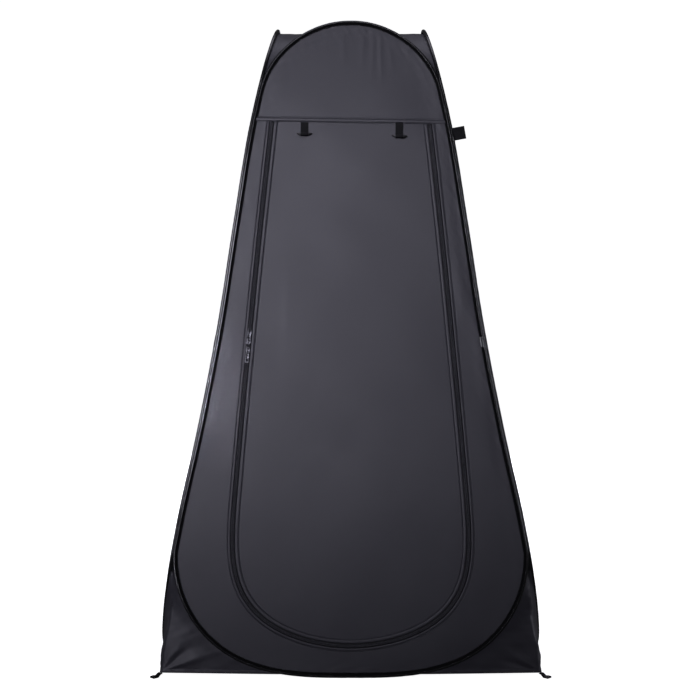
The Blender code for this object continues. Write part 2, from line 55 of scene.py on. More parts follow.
@dataclass(frozen=True)
class TentForm:
    """The form that all the cloth follows: leaning walls, rounded hoops and the line of the zip, in metres."""

    height: float = 1.900
    hoop_radius: float = 0.006
    hoop_spread: float = 0.0088
    wall_lean: tuple = ((0.00, 0.5650), (0.25, 0.5280), (0.45, 0.4930), (0.70, 0.4400), (1.00, 0.3845),
                        (1.30, 0.3395), (1.60, 0.2910), (1.75, 0.2580), (1.90, 0.2230))
    arch_start: float = 1.682
    arch_powers: tuple = (2.29, 2.02)
    foot_start: float = 0.357
    foot_powers: tuple = (1.50, 3.01)
    seam_height: float = 1.592
    seam_tilt: float = -0.0155
    seam_fade: float = 0.09
    zip_bottom: float = 0.090
    zip_half_widths: tuple = (0.3633, 0.2327)
    zip_bow: float = 0.0087
    zip_curve_start: float = 0.560
    zip_powers: tuple = (4.0, 1.9)
    ground_corner: float = 0.550
    gusset_top: float = 0.333
    gusset_sag: float = 0.004
    hem_height: float = 0.0155

    def half_depth(self, z: np.ndarray) -> np.ndarray:
        """Half the depth of the tent at each height, on a smooth curve through the wall's lean.

        Args:
            z: Heights.

        Returns:
            Distances from the middle of the tent to the wall.
        """
        heights, depths = np.array(self.wall_lean).T
        slopes = np.gradient(depths, heights)
        i = np.clip(np.searchsorted(heights, z) - 1, 0, len(heights) - 2)
        step = heights[i + 1] - heights[i]
        t = (z - heights[i]) / step
        return ((1 + 2 * t) * (1 - t) ** 2 * depths[i] + t * (1 - t) ** 2 * step * slopes[i]
                + t * t * (3 - 2 * t) * depths[i + 1] + t * t * (t - 1) * step * slopes[i + 1])

    def wall_slope(self, z: np.ndarray) -> np.ndarray:
        """How fast the half depth changes with height."""
        return (self.half_depth(z + 2 * MM) - self.half_depth(z - 2 * MM)) / (4 * MM)

    def on_wall(self, side: str, x: np.ndarray, z: np.ndarray, out: np.ndarray = 0.0) -> np.ndarray:
        """Points on a wall.

        Args:
            side: The wall.
            x: Distances across it.
            z: Heights.
            out: Distances outwards from the middle of its cloth.

        Returns:
            An array with a last axis of 3.
        """
        x, z, out = np.broadcast_arrays(np.asarray(x, float), np.asarray(z, float), np.asarray(out, float))
        slope = self.wall_slope(z)
        scale = out / np.sqrt(1 + slope**2)
        points = np.stack([x, -self.half_depth(z) - scale, z - slope * scale], axis=-1)
        return quarter_turned(points, SIDES.index(side))

    def on_front(self, x: np.ndarray, z: np.ndarray, out: np.ndarray = 0.0) -> np.ndarray:
        """Points on the front wall, where the cloth near the header seam hangs a little lower to the right."""
        fade = np.clip(1 - np.abs(z - self.seam_height) / self.seam_fade, 0, 1)
        return self.on_wall("front", x, z + self.seam_tilt * x * fade * fade * (3 - 2 * fade), out)

    def climb(self, z: np.ndarray) -> np.ndarray:
        """The length of cloth from the ground up to each height."""
        levels = np.linspace(0, self.height, 400)
        steps = np.hypot(np.diff(levels), np.diff(self.half_depth(levels)))
        return np.interp(z, levels, np.concatenate([[0], np.cumsum(steps)]))

    @staticmethod
    def rounded(part: np.ndarray, powers: tuple) -> np.ndarray:
        """How much of its width an outline keeps at this part, 0 to 1, of its rounded end."""
        return (1 - np.clip(part, 0, 1) ** powers[0]) ** (1 / powers[1])

    def hoop_half_width(self, z: np.ndarray) -> np.ndarray:
        """Half the width of a hoop's centre line at each height."""
        bottom, top = self.hoop_radius, self.height - self.hoop_radius
        arch = self.rounded((z - self.arch_start) / (top - self.arch_start), self.arch_powers)
        foot = self.rounded((self.foot_start - z) / (self.foot_start - bottom), self.foot_powers)
        return (self.half_depth(z) - self.hoop_spread) * arch * foot

    def zip_half_width(self, z: np.ndarray) -> np.ndarray:
        """Half the distance between the two legs of the zip at each height."""
        up = (z - self.zip_bottom) / (self.seam_height - self.zip_bottom)
        low, high = self.zip_half_widths
        part = (self.zip_curve_start - z) / (self.zip_curve_start - self.zip_bottom)
        return (low + (high - low) * up + 4 * self.zip_bow * up * (1 - up)) * self.rounded(part, self.zip_powers)

    def corner_line(self, z: np.ndarray) -> np.ndarray:
        """How far out, along X and along Y, the fold of a corner gusset lies at each height."""
        level = self.gusset_top
        top = float(self.half_depth(level) + self.hoop_half_width(level)) / 2
        up = z / level
        return self.ground_corner + (top - self.ground_corner) * up - 4 * self.gusset_sag * up * (1 - up)


FORM = TentForm()


def quarter_turned(points: np.ndarray, quarter: int) -> np.ndarray:
    """Points turned this many right angles about the middle of the tent."""
    return points @ np.array(Matrix.Rotation(math.radians(90) * quarter, 3, "Z")).T


def placed(points: np.ndarray, placing: Matrix) -> np.ndarray:
    """Points moved by a placing."""
    place = np.array(placing)
    return points @ place[:3, :3].T + place[:3, 3]


def unit(ways: np.ndarray) -> np.ndarray:
    """The same directions, each with a length of 1."""
    return ways / np.linalg.norm(ways, axis=-1, keepdims=True)


def layers(*parts: np.ndarray) -> np.ndarray:
    """Arrays that fit one another, as the coordinates of one array of points."""
    return np.stack(np.broadcast_arrays(*parts), axis=-1)


def lengths_along(points: np.ndarray) -> np.ndarray:
    """The length of a line up to each of its points."""
    return np.concatenate([[0], np.cumsum(np.linalg.norm(np.diff(points, axis=0), axis=1))])


def at_lengths(values: np.ndarray, lengths: np.ndarray, wanted: np.ndarray) -> np.ndarray:
    """The rows of values, given at these lengths along a line, at the wanted lengths."""
    return np.stack([np.interp(wanted, lengths, column) for column in values.T], axis=1)


def resample(points: np.ndarray, count: int, ends: bool = True) -> np.ndarray:
    """The same line with evenly spaced points.

    Args:
        points: The line, one point a row.
        count: How many points it gets.
        ends: Whether the first and last points stay; otherwise the points keep half a step from them.

    Returns:
        The new line.
    """
    lengths = lengths_along(points)
    shares = np.linspace(0, 1, count) if ends else (np.arange(count) + 0.5) / count
    return at_lengths(points, lengths, shares * lengths[-1])


def half_line(width_at: Callable, bottom: float, top: float) -> np.ndarray:
    """The right half of an outline, from bottom to top, as close (x, z) points.

    Args:
        width_at: Half the outline's width for an array of heights.
        bottom: Its lowest height.
        top: Its highest height.

    Returns:
        The points.
    """
    z = (bottom + top) / 2 + (top - bottom) / 2 * np.sin(np.linspace(-math.pi / 2, math.pi / 2, 6001))
    return np.stack([width_at(z), z], axis=1)


def hoop_half() -> np.ndarray:
    """The right half of a hoop's centre line."""
    return half_line(FORM.hoop_half_width, FORM.hoop_radius, FORM.height - FORM.hoop_radius)


def zip_half(distance: float, over: float) -> np.ndarray:
    """The right half of a line beside the zip, from the bottom up to this far over the header seam."""
    half = half_line(FORM.zip_half_width, FORM.zip_bottom, FORM.seam_height + 0.03)
    return below(offset(half, distance), FORM.seam_height + over)


def offset(line: np.ndarray, distance: float) -> np.ndarray:
    """A right half line moved outwards in the wall by this distance."""
    along = unit(np.gradient(line, axis=0))
    return line + distance * np.stack([along[:, 1], -along[:, 0]], axis=1)


def below(line: np.ndarray, top: float) -> np.ndarray:
    """The stretch of a right half line up to this height, with a point exactly there."""
    kept = line[line[:, 1] < top]
    return np.concatenate([kept, [[np.interp(top, line[:, 1], line[:, 0]), top]]])


def whole(line: np.ndarray) -> np.ndarray:
    """The U-shaped line, from the top left down round the bottom and up to the top right."""
    return np.concatenate([line[:0:-1] * (-1, 1), line])


def waves(across: np.ndarray, up: np.ndarray, seed: int, shortest: float, longest: float) -> np.ndarray:
    """A gentle, uneven ripple of about -1 to 1.

    Args:
        across: Places across the cloth, in metres.
        up: Places up the cloth, in metres.
        seed: Picks the ripple.
        shortest: The shortest wave, in metres.
        longest: The longest wave, in metres.

    Returns:
        The height of the ripple at each place.
    """
    chance = np.random.default_rng(seed)
    lengths = np.geomspace(shortest, longest, 9)
    total = np.zeros(np.broadcast(across, up).shape)
    for length in lengths:
        bearing, phase = chance.uniform(0, 2 * math.pi, 2)
        total += length * np.sin(2 * math.pi * (across * math.cos(bearing) + up * math.sin(bearing)) / length + phase)
    return total / np.sqrt((lengths**2).sum())


def bump(distance: np.ndarray, width: float) -> np.ndarray:
    """A smooth hump, 1 where the distance is 0."""
    return np.exp(-((distance / width) ** 2))


def step_up(value: np.ndarray, start: float, end: float) -> np.ndarray:
    """0 before start and 1 after end, with a smooth change between."""
    t = np.clip((value - start) / (end - start), 0, 1)
    return t * t * (3 - 2 * t)


def on_front_line(line: np.ndarray, out: np.ndarray) -> tuple:
    """The (x, z) points of a line this far out of the front wall, and the way out at each."""
    points = FORM.on_front(line[:, 0], line[:, 1], out)
    return points, FORM.on_front(line[:, 0], line[:, 1], out + 1.0) - points


@dataclass(frozen=True)
class Crease:
    """A soft fold in the front cloth, at (x, z), leaning this many degrees from upright."""

    x: float
    z: float
    lean: float
    length: float
    width: float
    depth: float

    def relief(self, x: np.ndarray, z: np.ndarray) -> np.ndarray:
        """How far the fold lifts the cloth at each place."""
        turn = math.radians(self.lean)
        along = (x - self.x) * math.sin(turn) + (z - self.z) * math.cos(turn)
        across = (x - self.x) * math.cos(turn) - (z - self.z) * math.sin(turn)
        return self.depth * bump(along, self.length) * bump(across, self.width)


class Weave(Enum):
    """The ways that a cloth's threads run."""

    PLAIN = ("X", "Y")
    RIBBED = ("Y",)
    TWILL = ("DIAGONAL", "X")


def linear(colour: str) -> tuple:
    """An sRGB hex colour, such as '4a4951', as linear RGBA."""
    parts = [int(colour[i:i + 2], 16) / 255 for i in (0, 2, 4)]
    return tuple(p / 12.92 if p <= 0.04045 else ((p + 0.055) / 1.055) ** 2.4 for p in parts) + (1.0,)


def add_node(tree: bpy.types.NodeTree, kind: str, settings: dict = None, **inputs) -> bpy.types.Node:
    """Adds one node.

    Args:
        tree: The material's nodes.
        kind: The node's type.
        settings: Its properties.
        inputs: Its sockets by name, with _ for a space, or in0, in1 by place. Each is a value or a socket to link.

    Returns:
        The node.
    """
    node = tree.nodes.new(kind)
    for key, value in (settings or {}).items():
        setattr(node, key, value)
    for key, value in inputs.items():
        place = int(key[2:]) if key[:2] == "in" and key[2:].isdigit() else key.replace("_", " ")
        if isinstance(value, bpy.types.NodeSocket):
            tree.links.new(value, node.inputs[place])
        else:
            node.inputs[place].default_value = value
    return node


def blank(name: str) -> tuple:
    """A new material, its nodes and its shader."""
    made = bpy.data.materials.new(name)
    made.use_nodes = True
    return made, made.node_tree, made.node_tree.nodes["Principled BSDF"]


def wire(tree: bpy.types.NodeTree, shader: bpy.types.Node, share: bpy.types.Node, colours: tuple,
         gloss: bpy.types.Node, relief: bpy.types.Node, **values: float) -> None:
    """Links a pattern's colours, gloss and relief to the shader and sets its constants.

    Args:
        tree: The material's nodes.
        shader: Its shader.
        share: The node that gives how much of the second colour shows.
        colours: The two colours, as sRGB hex.
        gloss: The node that gives the roughness.
        relief: The bump node.
        values: The shader's constants by socket name, with _ for a space.
    """
    colour = add_node(tree, "ShaderNodeMix", {"data_type": "RGBA"}, in0=share.outputs[0],
                      in6=linear(colours[0]), in7=linear(colours[1]))
    tree.links.new(colour.outputs[2], shader.inputs["Base Color"])
    tree.links.new(gloss.outputs[0], shader.inputs["Roughness"])
    tree.links.new(relief.outputs[0], shader.inputs["Normal"])
    for key, value in values.items():
        shader.inputs[key.replace("_", " ")].default_value = value


@dataclass(frozen=True)
class WovenCloth:
    """A woven polyester. Its pattern lies in the piece's own UV map, which is in metres."""

    name: str
    colour: str
    faded: str
    roughness: float
    weave: Weave
    thread: float
    thread_depth: float = 0.12 * MM
    cloudiness: float = 0.06
    specular: float = 0.5

    def material(self) -> bpy.types.Material:
        """Builds the material: thread bump, a cloudy colour and a cloudy gloss."""
        made, tree, shader = blank(self.name)
        place = add_node(tree, "ShaderNodeTexCoord").outputs["UV"]
        # A band texture repeats every 0.314 / scale metres
        scale = 0.31416 / self.thread
        lines = []
        for direction in self.weave.value:
            wave = add_node(tree, "ShaderNodeTexWave", {"bands_direction": direction},
                            Vector=place, Scale=scale, Distortion=0.25, Detail=1.0)
            lines.append(wave.outputs["Fac"])
        threads = lines[0]
        if len(lines) > 1:
            threads = add_node(tree, "ShaderNodeMath", {"operation": "MULTIPLY"}, in0=lines[0], in1=lines[1]).outputs[0]
        clouds = add_node(tree, "ShaderNodeTexNoise", Vector=place, Scale=7.0, Detail=4.0, Roughness=0.55)
        slub = add_node(tree, "ShaderNodeTexNoise", Vector=place, Scale=420.0, Detail=2.0)
        height = add_node(tree, "ShaderNodeMath", {"operation": "MULTIPLY_ADD"},
                          in0=slub.outputs["Fac"], in1=0.5, in2=threads)
        relief = add_node(tree, "ShaderNodeBump", Height=height.outputs[0], Strength=0.5, Distance=self.thread_depth)
        mix = add_node(tree, "ShaderNodeMapRange", Value=clouds.outputs["Fac"], From_Min=0.3, From_Max=0.7)
        gloss = add_node(tree, "ShaderNodeMapRange", Value=clouds.outputs["Fac"], From_Min=0.3, From_Max=0.7,
                         To_Min=self.roughness - self.cloudiness, To_Max=self.roughness + self.cloudiness)
        wire(tree, shader, mix, (self.colour, self.faded), gloss, relief, Specular_IOR_Level=self.specular)
        return made


@dataclass(frozen=True)
class HardFinish:
    """A moulded or enamelled surface with a fine grain and slight wear, patterned in object space."""

    name: str
    colour: str
    worn: str
    roughness: float
    metallic: float
    grain: float
    grain_depth: float
    coat: float = 0.0

    def material(self) -> bpy.types.Material:
        """Builds the material: grain bump, scuffed colour and uneven gloss."""
        made, tree, shader = blank(self.name)
        place = add_node(tree, "ShaderNodeTexCoord").outputs["Object"]
        grain = add_node(tree, "ShaderNodeTexNoise", Vector=place, Scale=1 / self.grain, Detail=3.0)
        scuffs = add_node(tree, "ShaderNodeTexNoise", Vector=place, Scale=260.0, Detail=6.0, Roughness=0.7)
        worn = add_node(tree, "ShaderNodeMapRange", Value=scuffs.outputs["Fac"], From_Min=0.55, From_Max=0.75)
        gloss = add_node(tree, "ShaderNodeMapRange", Value=scuffs.outputs["Fac"],
                         To_Min=self.roughness - 0.08, To_Max=self.roughness + 0.12)
        relief = add_node(tree, "ShaderNodeBump", Height=grain.outputs["Fac"], Strength=0.4,
                          Distance=self.grain_depth)
        wire(tree, shader, worn, (self.colour, self.worn), gloss, relief,
             Metallic=self.metallic, Coat_Weight=self.coat)
        return made


# Polyester taffeta with a satin face. Its threads, about 0.15 mm apart, are drawn 0.9 mm apart so that they show
TENT_CLOTH = WovenCloth("polyester_taffeta_charcoal", "23222a", "26252d", 0.50, Weave.PLAIN, 0.9 * MM,
                        cloudiness=0.02, specular=0.6)
# The polyurethane film on the inside of the cloth: smoother and greyer
COATED_BACK = WovenCloth("polyurethane_coated_back", "3d3d42", "434348", 0.38, Weave.PLAIN, 0.9 * MM, 0.05 * MM)
# Folded polyester binding round the hoops: nearly black, with a soft satin line along its round
BINDING = WovenCloth("polyester_binding_black", "0b0b0d", "0f0f11", 0.25, Weave.TWILL, 0.8 * MM, 0.05 * MM,
                     cloudiness=0.03, specular=0.65)
# Near-black matt tape. On the sleeves it covers the flat tails and the inner side of the round: painted shade for the
# shadowed groove between sleeve and wall cloth. It also makes the corner binding strips
BLACK_TAPE_AND_PAINTED_SHADE = WovenCloth("matt_black_tape_and_painted_shade", "060607", "09090a", 0.85, Weave.TWILL, 0.7 * MM, specular=0.12)
# Woven polyester zip tape, matt
ZIP_TAPE = WovenCloth("woven_zip_tape", "111114", "161619", 0.70, Weave.TWILL, 0.7 * MM, 0.06 * MM, specular=0.3)
# Polypropylene webbing with ribs 1.5 mm apart
WEBBING = WovenCloth("polypropylene_webbing", "08080a", "0c0c0e", 0.70, Weave.RIBBED, 1.5 * MM, 0.35 * MM, specular=0.2)
# Bonded nylon thread, slightly shiny
THREAD = HardFinish("bonded_nylon_thread", "0b0b0d", "101012", 0.50, 0.0, 0.4 * MM, 0.05 * MM)
# Nylon monofilament coil of the zip, smooth and shiny
NYLON_COIL = HardFinish("nylon_coil", "404046", "4a4a50", 0.34, 0.0, 0.8 * MM, 0.02 * MM)
# Die-cast zinc with a dark nickel plating: grey and glossy, with brighter rubbed spots
PLATED_ZINC = HardFinish("dark_nickel_plated_zinc", "303033", "5c5c60", 0.25, 0.85, 0.6 * MM, 0.02 * MM, coat=0.1)
# Moulded acetal, satin
ACETAL = HardFinish("moulded_acetal_black", "101012", "1a1a1c", 0.38, 0.0, 0.5 * MM, 0.03 * MM)


class Bench:
    """Makes meshes and pieces, and gives each its material and body."""

    def __init__(self) -> None:
        """Starts with no materials built."""
        self.built = {}
        self.areas = {}

    def material(self, finish: object) -> bpy.types.Material:
        """The material of a finish, built once."""
        if finish not in self.built:
            self.built[finish] = finish.material()
        return self.built[finish]

    def piece(self, name: str, points: np.ndarray, faces: list, finish: object, uv: np.ndarray = None) -> object:
        """A new piece from points and faces.

        Args:
            name: Its name.
            points: Its points, one a row.
            faces: Tuples of point numbers.
            finish: What it is made of.
            uv: A place in metres on the cloth for each point.

        Returns:
            The object.
        """
        mesh = bpy.data.meshes.new(name)
        mesh.from_pydata(points.reshape(-1, 3).tolist(), [], faces)
        if uv is not None:
            corners = np.zeros(len(mesh.loops), int)
            mesh.loops.foreach_get("vertex_index", corners)
            mesh.uv_layers.new(name="cloth").data.foreach_set("uv", uv.reshape(-1, 2)[corners].ravel())
        mesh.validate()
        mesh.materials.append(self.material(finish))
        mesh.shade_smooth()
        self.areas[name] = sum(face.area for face in mesh.polygons)
        made = bpy.data.objects.new(name, mesh)
        bpy.context.scene.collection.objects.link(made)
        return made

    def cloth(self, name: str, rows: np.ndarray, uv: np.ndarray, finish: object, thick: float,
              closed: bool = False, back: object = None, middle: float = 0.0, edge: object = None,
              edge_columns: int = 0) -> object:
        """A sheet of cloth over a grid of points, with real thickness.

        Args:
            name: Its name.
            rows: Points, as rows x columns x 3, so that rows x columns turn anticlockwise seen from outside.
            uv: Places in metres on the cloth, as rows x columns x 2.
            finish: Its outer material.
            thick: Its thickness.
            closed: Whether the last row joins the first.
            back: Its inner material, if that is another.
            middle: -1 keeps the points on the outer face, 0 in the middle of the cloth.
            edge: What its first and last columns of faces are made of, if that is another.
            edge_columns: How many columns of faces that is at each side.

        Returns:
            The object.
        """
        height, width = rows.shape[:2]
        made = self.piece(name, rows, grid_faces(height, width, closed), finish, uv)
        for other in filter(None, (back, edge)):
            made.data.materials.append(self.material(other))
        if edge:
            column = np.arange(len(made.data.polygons)) % (width - 1)
            outer = (column < edge_columns) | (column >= width - 1 - edge_columns)
            made.data.polygons.foreach_set("material_index", outer.astype(np.int32))
        thicken(made, thick, middle, 1 if back else 0)
        return made

    def ride(self, piece: object, body: str, slot: str, *nodes: str) -> None:
        """Puts a piece on its body, hides the frame's nodes that it stands for, and logs it.

        Args:
            piece: The finished object.
            body: The body that it moves with.
            slot: The record's material slot; not used.
            nodes: The frame's nodes that it replaces.
        """
        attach(piece, body)
        if nodes:
            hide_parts(*nodes)
        LOG.info("%s: %d faces, rides on %s", piece.name, len(piece.data.polygons), body)


BENCH = Bench()


def grid_faces(rows: int, columns: int, closed: bool = False) -> list:
    """The quads between neighbouring rows of points.

    Args:
        rows: How many rows.
        columns: How many points in each.
        closed: Whether the last row joins the first.

    Returns:
        Tuples of four point numbers.
    """
    here = np.arange(rows * columns).reshape(rows, columns)
    there = np.roll(here, -1, axis=0) if closed else here[1:]
    here = here if closed else here[:-1]
    quads = np.stack([here[:, :-1], here[:, 1:], there[:, 1:], there[:, :-1]], axis=-1)
    return [tuple(q) for q in quads.reshape(-1, 4).tolist()]


def select_only(piece: object) -> None:
    """Makes a piece the one that operators act on."""
    bpy.ops.object.select_all(action="DESELECT")
    piece.select_set(True)
    bpy.context.view_layer.objects.active = piece


@contextmanager
def edit_mode() -> Iterator[None]:
    """Puts the active piece in edit mode for a while."""
    bpy.ops.object.mode_set(mode="EDIT")
    yield
    bpy.ops.object.mode_set(mode="OBJECT")


def extrude(move: tuple, scale: tuple = None) -> None:
    """Extrudes the selected faces by this move, then scales them about their middle."""
    bpy.ops.mesh.extrude_region_move(TRANSFORM_OT_translate={"value": move})
    if scale:
        bpy.ops.transform.resize(value=scale)


def rod(radius: float, length: float, sides: int, along_x: bool = True, place: tuple = (0, 0, 0)) -> object:
    """Adds a round rod along X, or along Y, with its middle at this place."""
    bpy.ops.object.select_all(action="DESELECT")
    turn = (0, math.pi / 2, 0) if along_x else (math.pi / 2, 0, 0)
    bpy.ops.mesh.primitive_cylinder_add(vertices=sides, radius=radius, depth=length, location=place, rotation=turn)
    bpy.ops.object.transform_apply(location=True, rotation=True, scale=True)
    return bpy.context.active_object


def block(size: tuple, place: tuple = (0, 0, 0)) -> object:
    """Adds a block of this size about this place, alone selected."""
    bpy.ops.object.select_all(action="DESELECT")
    bpy.ops.mesh.primitive_cube_add(size=1.0, location=place)
    made = bpy.context.active_object
    made.scale = size
    bpy.ops.object.transform_apply(location=True, rotation=False, scale=True)
    return made


def select_faces(piece: object, wanted: Callable) -> None:
    """In edit mode, selects the faces for which wanted(face) is true, and nothing else."""
    bpy.ops.mesh.select_all(action="DESELECT")
    mesh = bmesh.from_edit_mesh(piece.data)
    mesh.normal_update()
    for face in mesh.faces:
        face.select_set(bool(wanted(face)))
    bmesh.update_edit_mesh(piece.data)


def apply_modifier(piece: object, kind: str, **settings) -> None:
    """Adds a modifier with these settings and applies it."""
    modifier = piece.modifiers.new(kind.lower(), kind)
    for key, value in settings.items():
        setattr(modifier, key, value)
    select_only(piece)
    bpy.ops.object.modifier_apply(modifier=modifier.name)


def thicken(piece: object, thick: float, middle: float = 0.0, back_slot: int = 0) -> None:
    """Gives a sheet its thickness. A middle of 0 grows both faces, and -1 keeps the outer one."""
    apply_modifier(piece, "SOLIDIFY", thickness=thick, offset=middle, material_offset=back_slot)
    piece.data.shade_smooth()
    piece.data.set_sharp_from_angle(angle=math.radians(50))


def finish_hard(piece: object, finish: object, bevel: float = 0.0, segments: int = 2) -> None:
    """Rounds a hard piece's edges, sets its smooth shading and material, and moves its place into its mesh.

    Args:
        piece: The object.
        finish: What it is made of.
        bevel: The radius of its edges.
        segments: How many faces round an edge.
    """
    if bevel:
        apply_modifier(piece, "BEVEL", width=bevel, segments=segments, limit_method="ANGLE",
                       angle_limit=math.radians(35))
    piece.data.materials.clear()
    piece.data.materials.append(BENCH.material(finish))
    select_only(piece)
    bpy.ops.object.transform_apply(location=True, rotation=True, scale=True)
    bpy.ops.object.shade_smooth_by_angle(angle=math.radians(40))


def repeated(name: str, pattern: object, places: np.ndarray, frames: np.ndarray, finish: object) -> object:
    """One joined mesh of many copies of a small shape.

    Args:
        name: Its name.
        pattern: The shape, modelled once at the origin. It is removed.
        places: Where each copy goes.
        frames: Each copy's X, Y and Z axes, as copies x 3 x 3.
        finish: What it is made of.

    Returns:
        The object.
    """
    shape = np.array([v.co for v in pattern.data.vertices])
    faces = [tuple(p.vertices) for p in pattern.data.polygons]
    bpy.data.objects.remove(pattern)
    points = np.einsum("vk,nkj->nvj", shape, frames) + places[:, None]
    count = len(shape)
    many = [tuple(count * n + i for i in face) for n in range(len(places)) for face in faces]
    return BENCH.piece(name, points, many, finish)


def frames_along(line: np.ndarray, out: np.ndarray) -> np.ndarray:
    """Axes at each point of a line: along it, across it in the cloth, and out of the cloth.

    Args:
        line: The points.
        out: The direction out of the cloth at each.

    Returns:
        An array of points x 3 x 3.
    """
    along = unit(np.gradient(line, axis=0))
    across = unit(np.cross(out, along))
    return np.stack([along, across, np.cross(along, across)], axis=1)


@dataclass
class Stitching:
    """Lock stitches: short threads that dip into the cloth at both ends."""

    length: float = 3.9 * MM
    pitch: float = 4.2 * MM
    thread: float = 0.95 * MM

    def pattern(self) -> object:
        """Models one stitch at the origin, along X, with Z out of the cloth."""
        stitch = rod(self.thread / 2, self.length * 0.6, 6)
        with edit_mode():
            for way in (-1, 1):
                mesh = bmesh.from_edit_mesh(stitch.data)
                for face in mesh.faces:
                    face.select_set(face.normal.x * way > 0.9)
                mesh.select_flush_mode()
                bmesh.update_edit_mesh(stitch.data)
                extrude((way * self.length * 0.2, 0, -0.7 * self.thread), (1, 0.6, 0.6))
                bpy.ops.mesh.select_all(action="DESELECT")
        return stitch

    def sew(self, name: str, line: np.ndarray, out: np.ndarray, body: str, slot: str) -> None:
        """Sews along a line.

        Args:
            name: The piece's name.
            line: Points of the line on the cloth's face, in order.
            out: The direction out of the cloth at each.
            body: The body that it moves with.
            slot: The record's material slot.
        """
        lengths = lengths_along(line)
        count = int(lengths[-1] / self.pitch)
        wanted = (np.arange(count) + 0.5) * lengths[-1] / count
        places, outward = (at_lengths(values, lengths, wanted) for values in (line, out))
        piece = repeated(name, self.pattern(), places, frames_along(places, unit(outward)), THREAD)
        BENCH.ride(piece, body, slot)


STITCHING = Stitching()


@dataclass
class HoopSleeves:
    """The four sleeves of folded binding that hold the sprung hoops, each with its line of stitches."""

    step: float = 8 * MM
    tube: float = 5.1 * MM
    # How far the tube stands out from the hoop's centre line where the hoop is upright
    tube_out: float = 2.3 * MM
    # How far the flat tails reach into the wall, where the hoop is upright and where it lies level
    tails: tuple = (7.2 * MM, 10.2 * MM)
    tail_lift: float = 1.0 * MM
    thick: float = 0.6 * MM
    pucker: float = 0.12 * MM
    stitch_share: float = 0.86
    # How many columns of faces at each edge of a sleeve's section take the near-black matt tape: the tails and the
    # inner side of the tube, painted shade for the groove beside the wall cloth
    painted_shade_columns: int = 6
    joint_height: float = 0.935
    joint_length: float = 0.030

    def frames(self, side: str) -> tuple:
        """The closed centre line of a hoop.

        Args:
            side: Its wall.

        Returns:
            The points, the way into the wall's middle, the way into the tent, and the length up to each point.
        """
        half = hoop_half()
        total = lengths_along(half)[-1]
        right = resample(half, round(total / self.step))
        ring = np.concatenate([right, right[-2:0:-1] * (-1, 1)])
        place = FORM.on_wall(side, ring[:, 0], ring[:, 1])
        along = unit(np.roll(place, -1, axis=0) - np.roll(place, 1, axis=0))
        tent_ward = place - FORM.on_wall(side, ring[:, 0], ring[:, 1], 1.0)
        wall_ward = np.cross(along, tent_ward)
        run = np.arange(len(ring)) * total * 2 / len(ring)
        return place, wall_ward, tent_ward, run

    @staticmethod
    def upright(wall_ward: np.ndarray, tent_ward: np.ndarray) -> np.ndarray:
        """How upright the hoop runs at each point, 0 to 1, as a column."""
        return np.abs(np.cross(tent_ward, wall_ward)[:, 2:])

    def tail(self, upright: np.ndarray) -> np.ndarray:
        """How far the tails reach into the wall."""
        return self.tails[1] + (self.tails[0] - self.tails[1]) * upright

    def profiles(self, upright: np.ndarray) -> tuple:
        """The folded binding's cross sections, from its outer tail round the hoop to its inner tail.

        Args:
            upright: How upright the hoop runs at each point.

        Returns:
            How far each point of each section lies into the wall, and how far into the tent.
        """
        around = np.radians(np.linspace(-28, -332, 19))
        along_tail = np.array([1.0, 0.8, 0.64])
        lift = np.array([1.0, 1.15, 1.2]) * self.tail_lift
        tails = self.tail(upright) * along_tail[None]
        arc = self.tube * np.cos(around)[None] - self.tube_out * upright
        into_wall = np.concatenate([tails, arc, tails[:, ::-1]], axis=1)
        into_tent = np.concatenate([-lift, self.tube * np.sin(around), lift[::-1]])
        return into_wall, np.broadcast_to(into_tent, into_wall.shape)

    def build(self) -> None:
        """Makes the sleeves, the short overlap where each closes, and their stitches."""
        for number, side in enumerate(SIDES):
            place, wall_ward, tent_ward, run = self.frames(side)
            upright = self.upright(wall_ward, tent_ward)
            across, behind = self.profiles(upright)
            girth = lengths_along(layers(across[0], behind[0]))
            size = 1 + waves(run[:, None], girth[None] * 2.5, 40 + number, 11 * MM, 45 * MM) * self.pucker / self.tube
            rows = (place[:, None] + (across * size)[..., None] * wall_ward[:, None]
                    + (behind * size)[..., None] * tent_ward[:, None])
            # The outer columns of each section are the near-black matt tape: painted shade along the inner side of the
            # sleeve
            sleeve = BENCH.cloth(f"{side}_sleeve_binding", rows, layers(girth[None], run[:, None]), BINDING,
                                 self.thick, closed=True, middle=-1.0, edge=BLACK_TAPE_AND_PAINTED_SHADE, edge_columns=self.painted_shade_columns)
            BENCH.ride(sleeve, "shell", "sleeve_cloth", f"{side}_hoop_sleeve")
            line = (place + self.stitch_share * self.tail(upright) * wall_ward
                    - (self.tail_lift + 0.2 * MM) * tent_ward)
            STITCHING.sew(f"{side}_sleeve_stitches", line, -tent_ward, "shell", "sleeve_cloth")
            self.overlap(side, place, wall_ward, tent_ward, run)

    def overlap(self, side: str, place: np.ndarray, wall_ward: np.ndarray, tent_ward: np.ndarray,
                run: np.ndarray) -> None:
        """The second layer where the binding's two ends lap, on the right side of each hoop.

        Args:
            side: The wall.
            place: The hoop's centre line.
            wall_ward: The way into the wall's middle.
            tent_ward: The way into the tent.
            run: The length up to each point.
        """
        half = len(place) // 2
        start = np.interp(self.joint_height, place[:half, 2], run[:half])
        wanted = start + np.linspace(0, self.joint_length, 9)
        centre, inward, tent = (at_lengths(values, run, wanted) for values in (place, wall_ward, tent_ward))
        upright = self.upright(inward, tent)
        across, behind = self.profiles(upright)
        larger = 1 + self.thick / self.tube * 1.1
        across = (across + self.tube_out * upright) * larger - self.tube_out * upright - 0.1 * MM
        rows = centre[:, None] + across[..., None] * inward[:, None] + (behind * larger)[..., None] * tent[:, None]
        uv = layers(lengths_along(layers(across[0], behind[0]))[None], wanted[:, None])
        lap = BENCH.cloth(f"{side}_sleeve_overlap", rows, uv, BINDING, self.thick, middle=-1.0)
        BENCH.ride(lap, "shell", "sleeve_cloth")


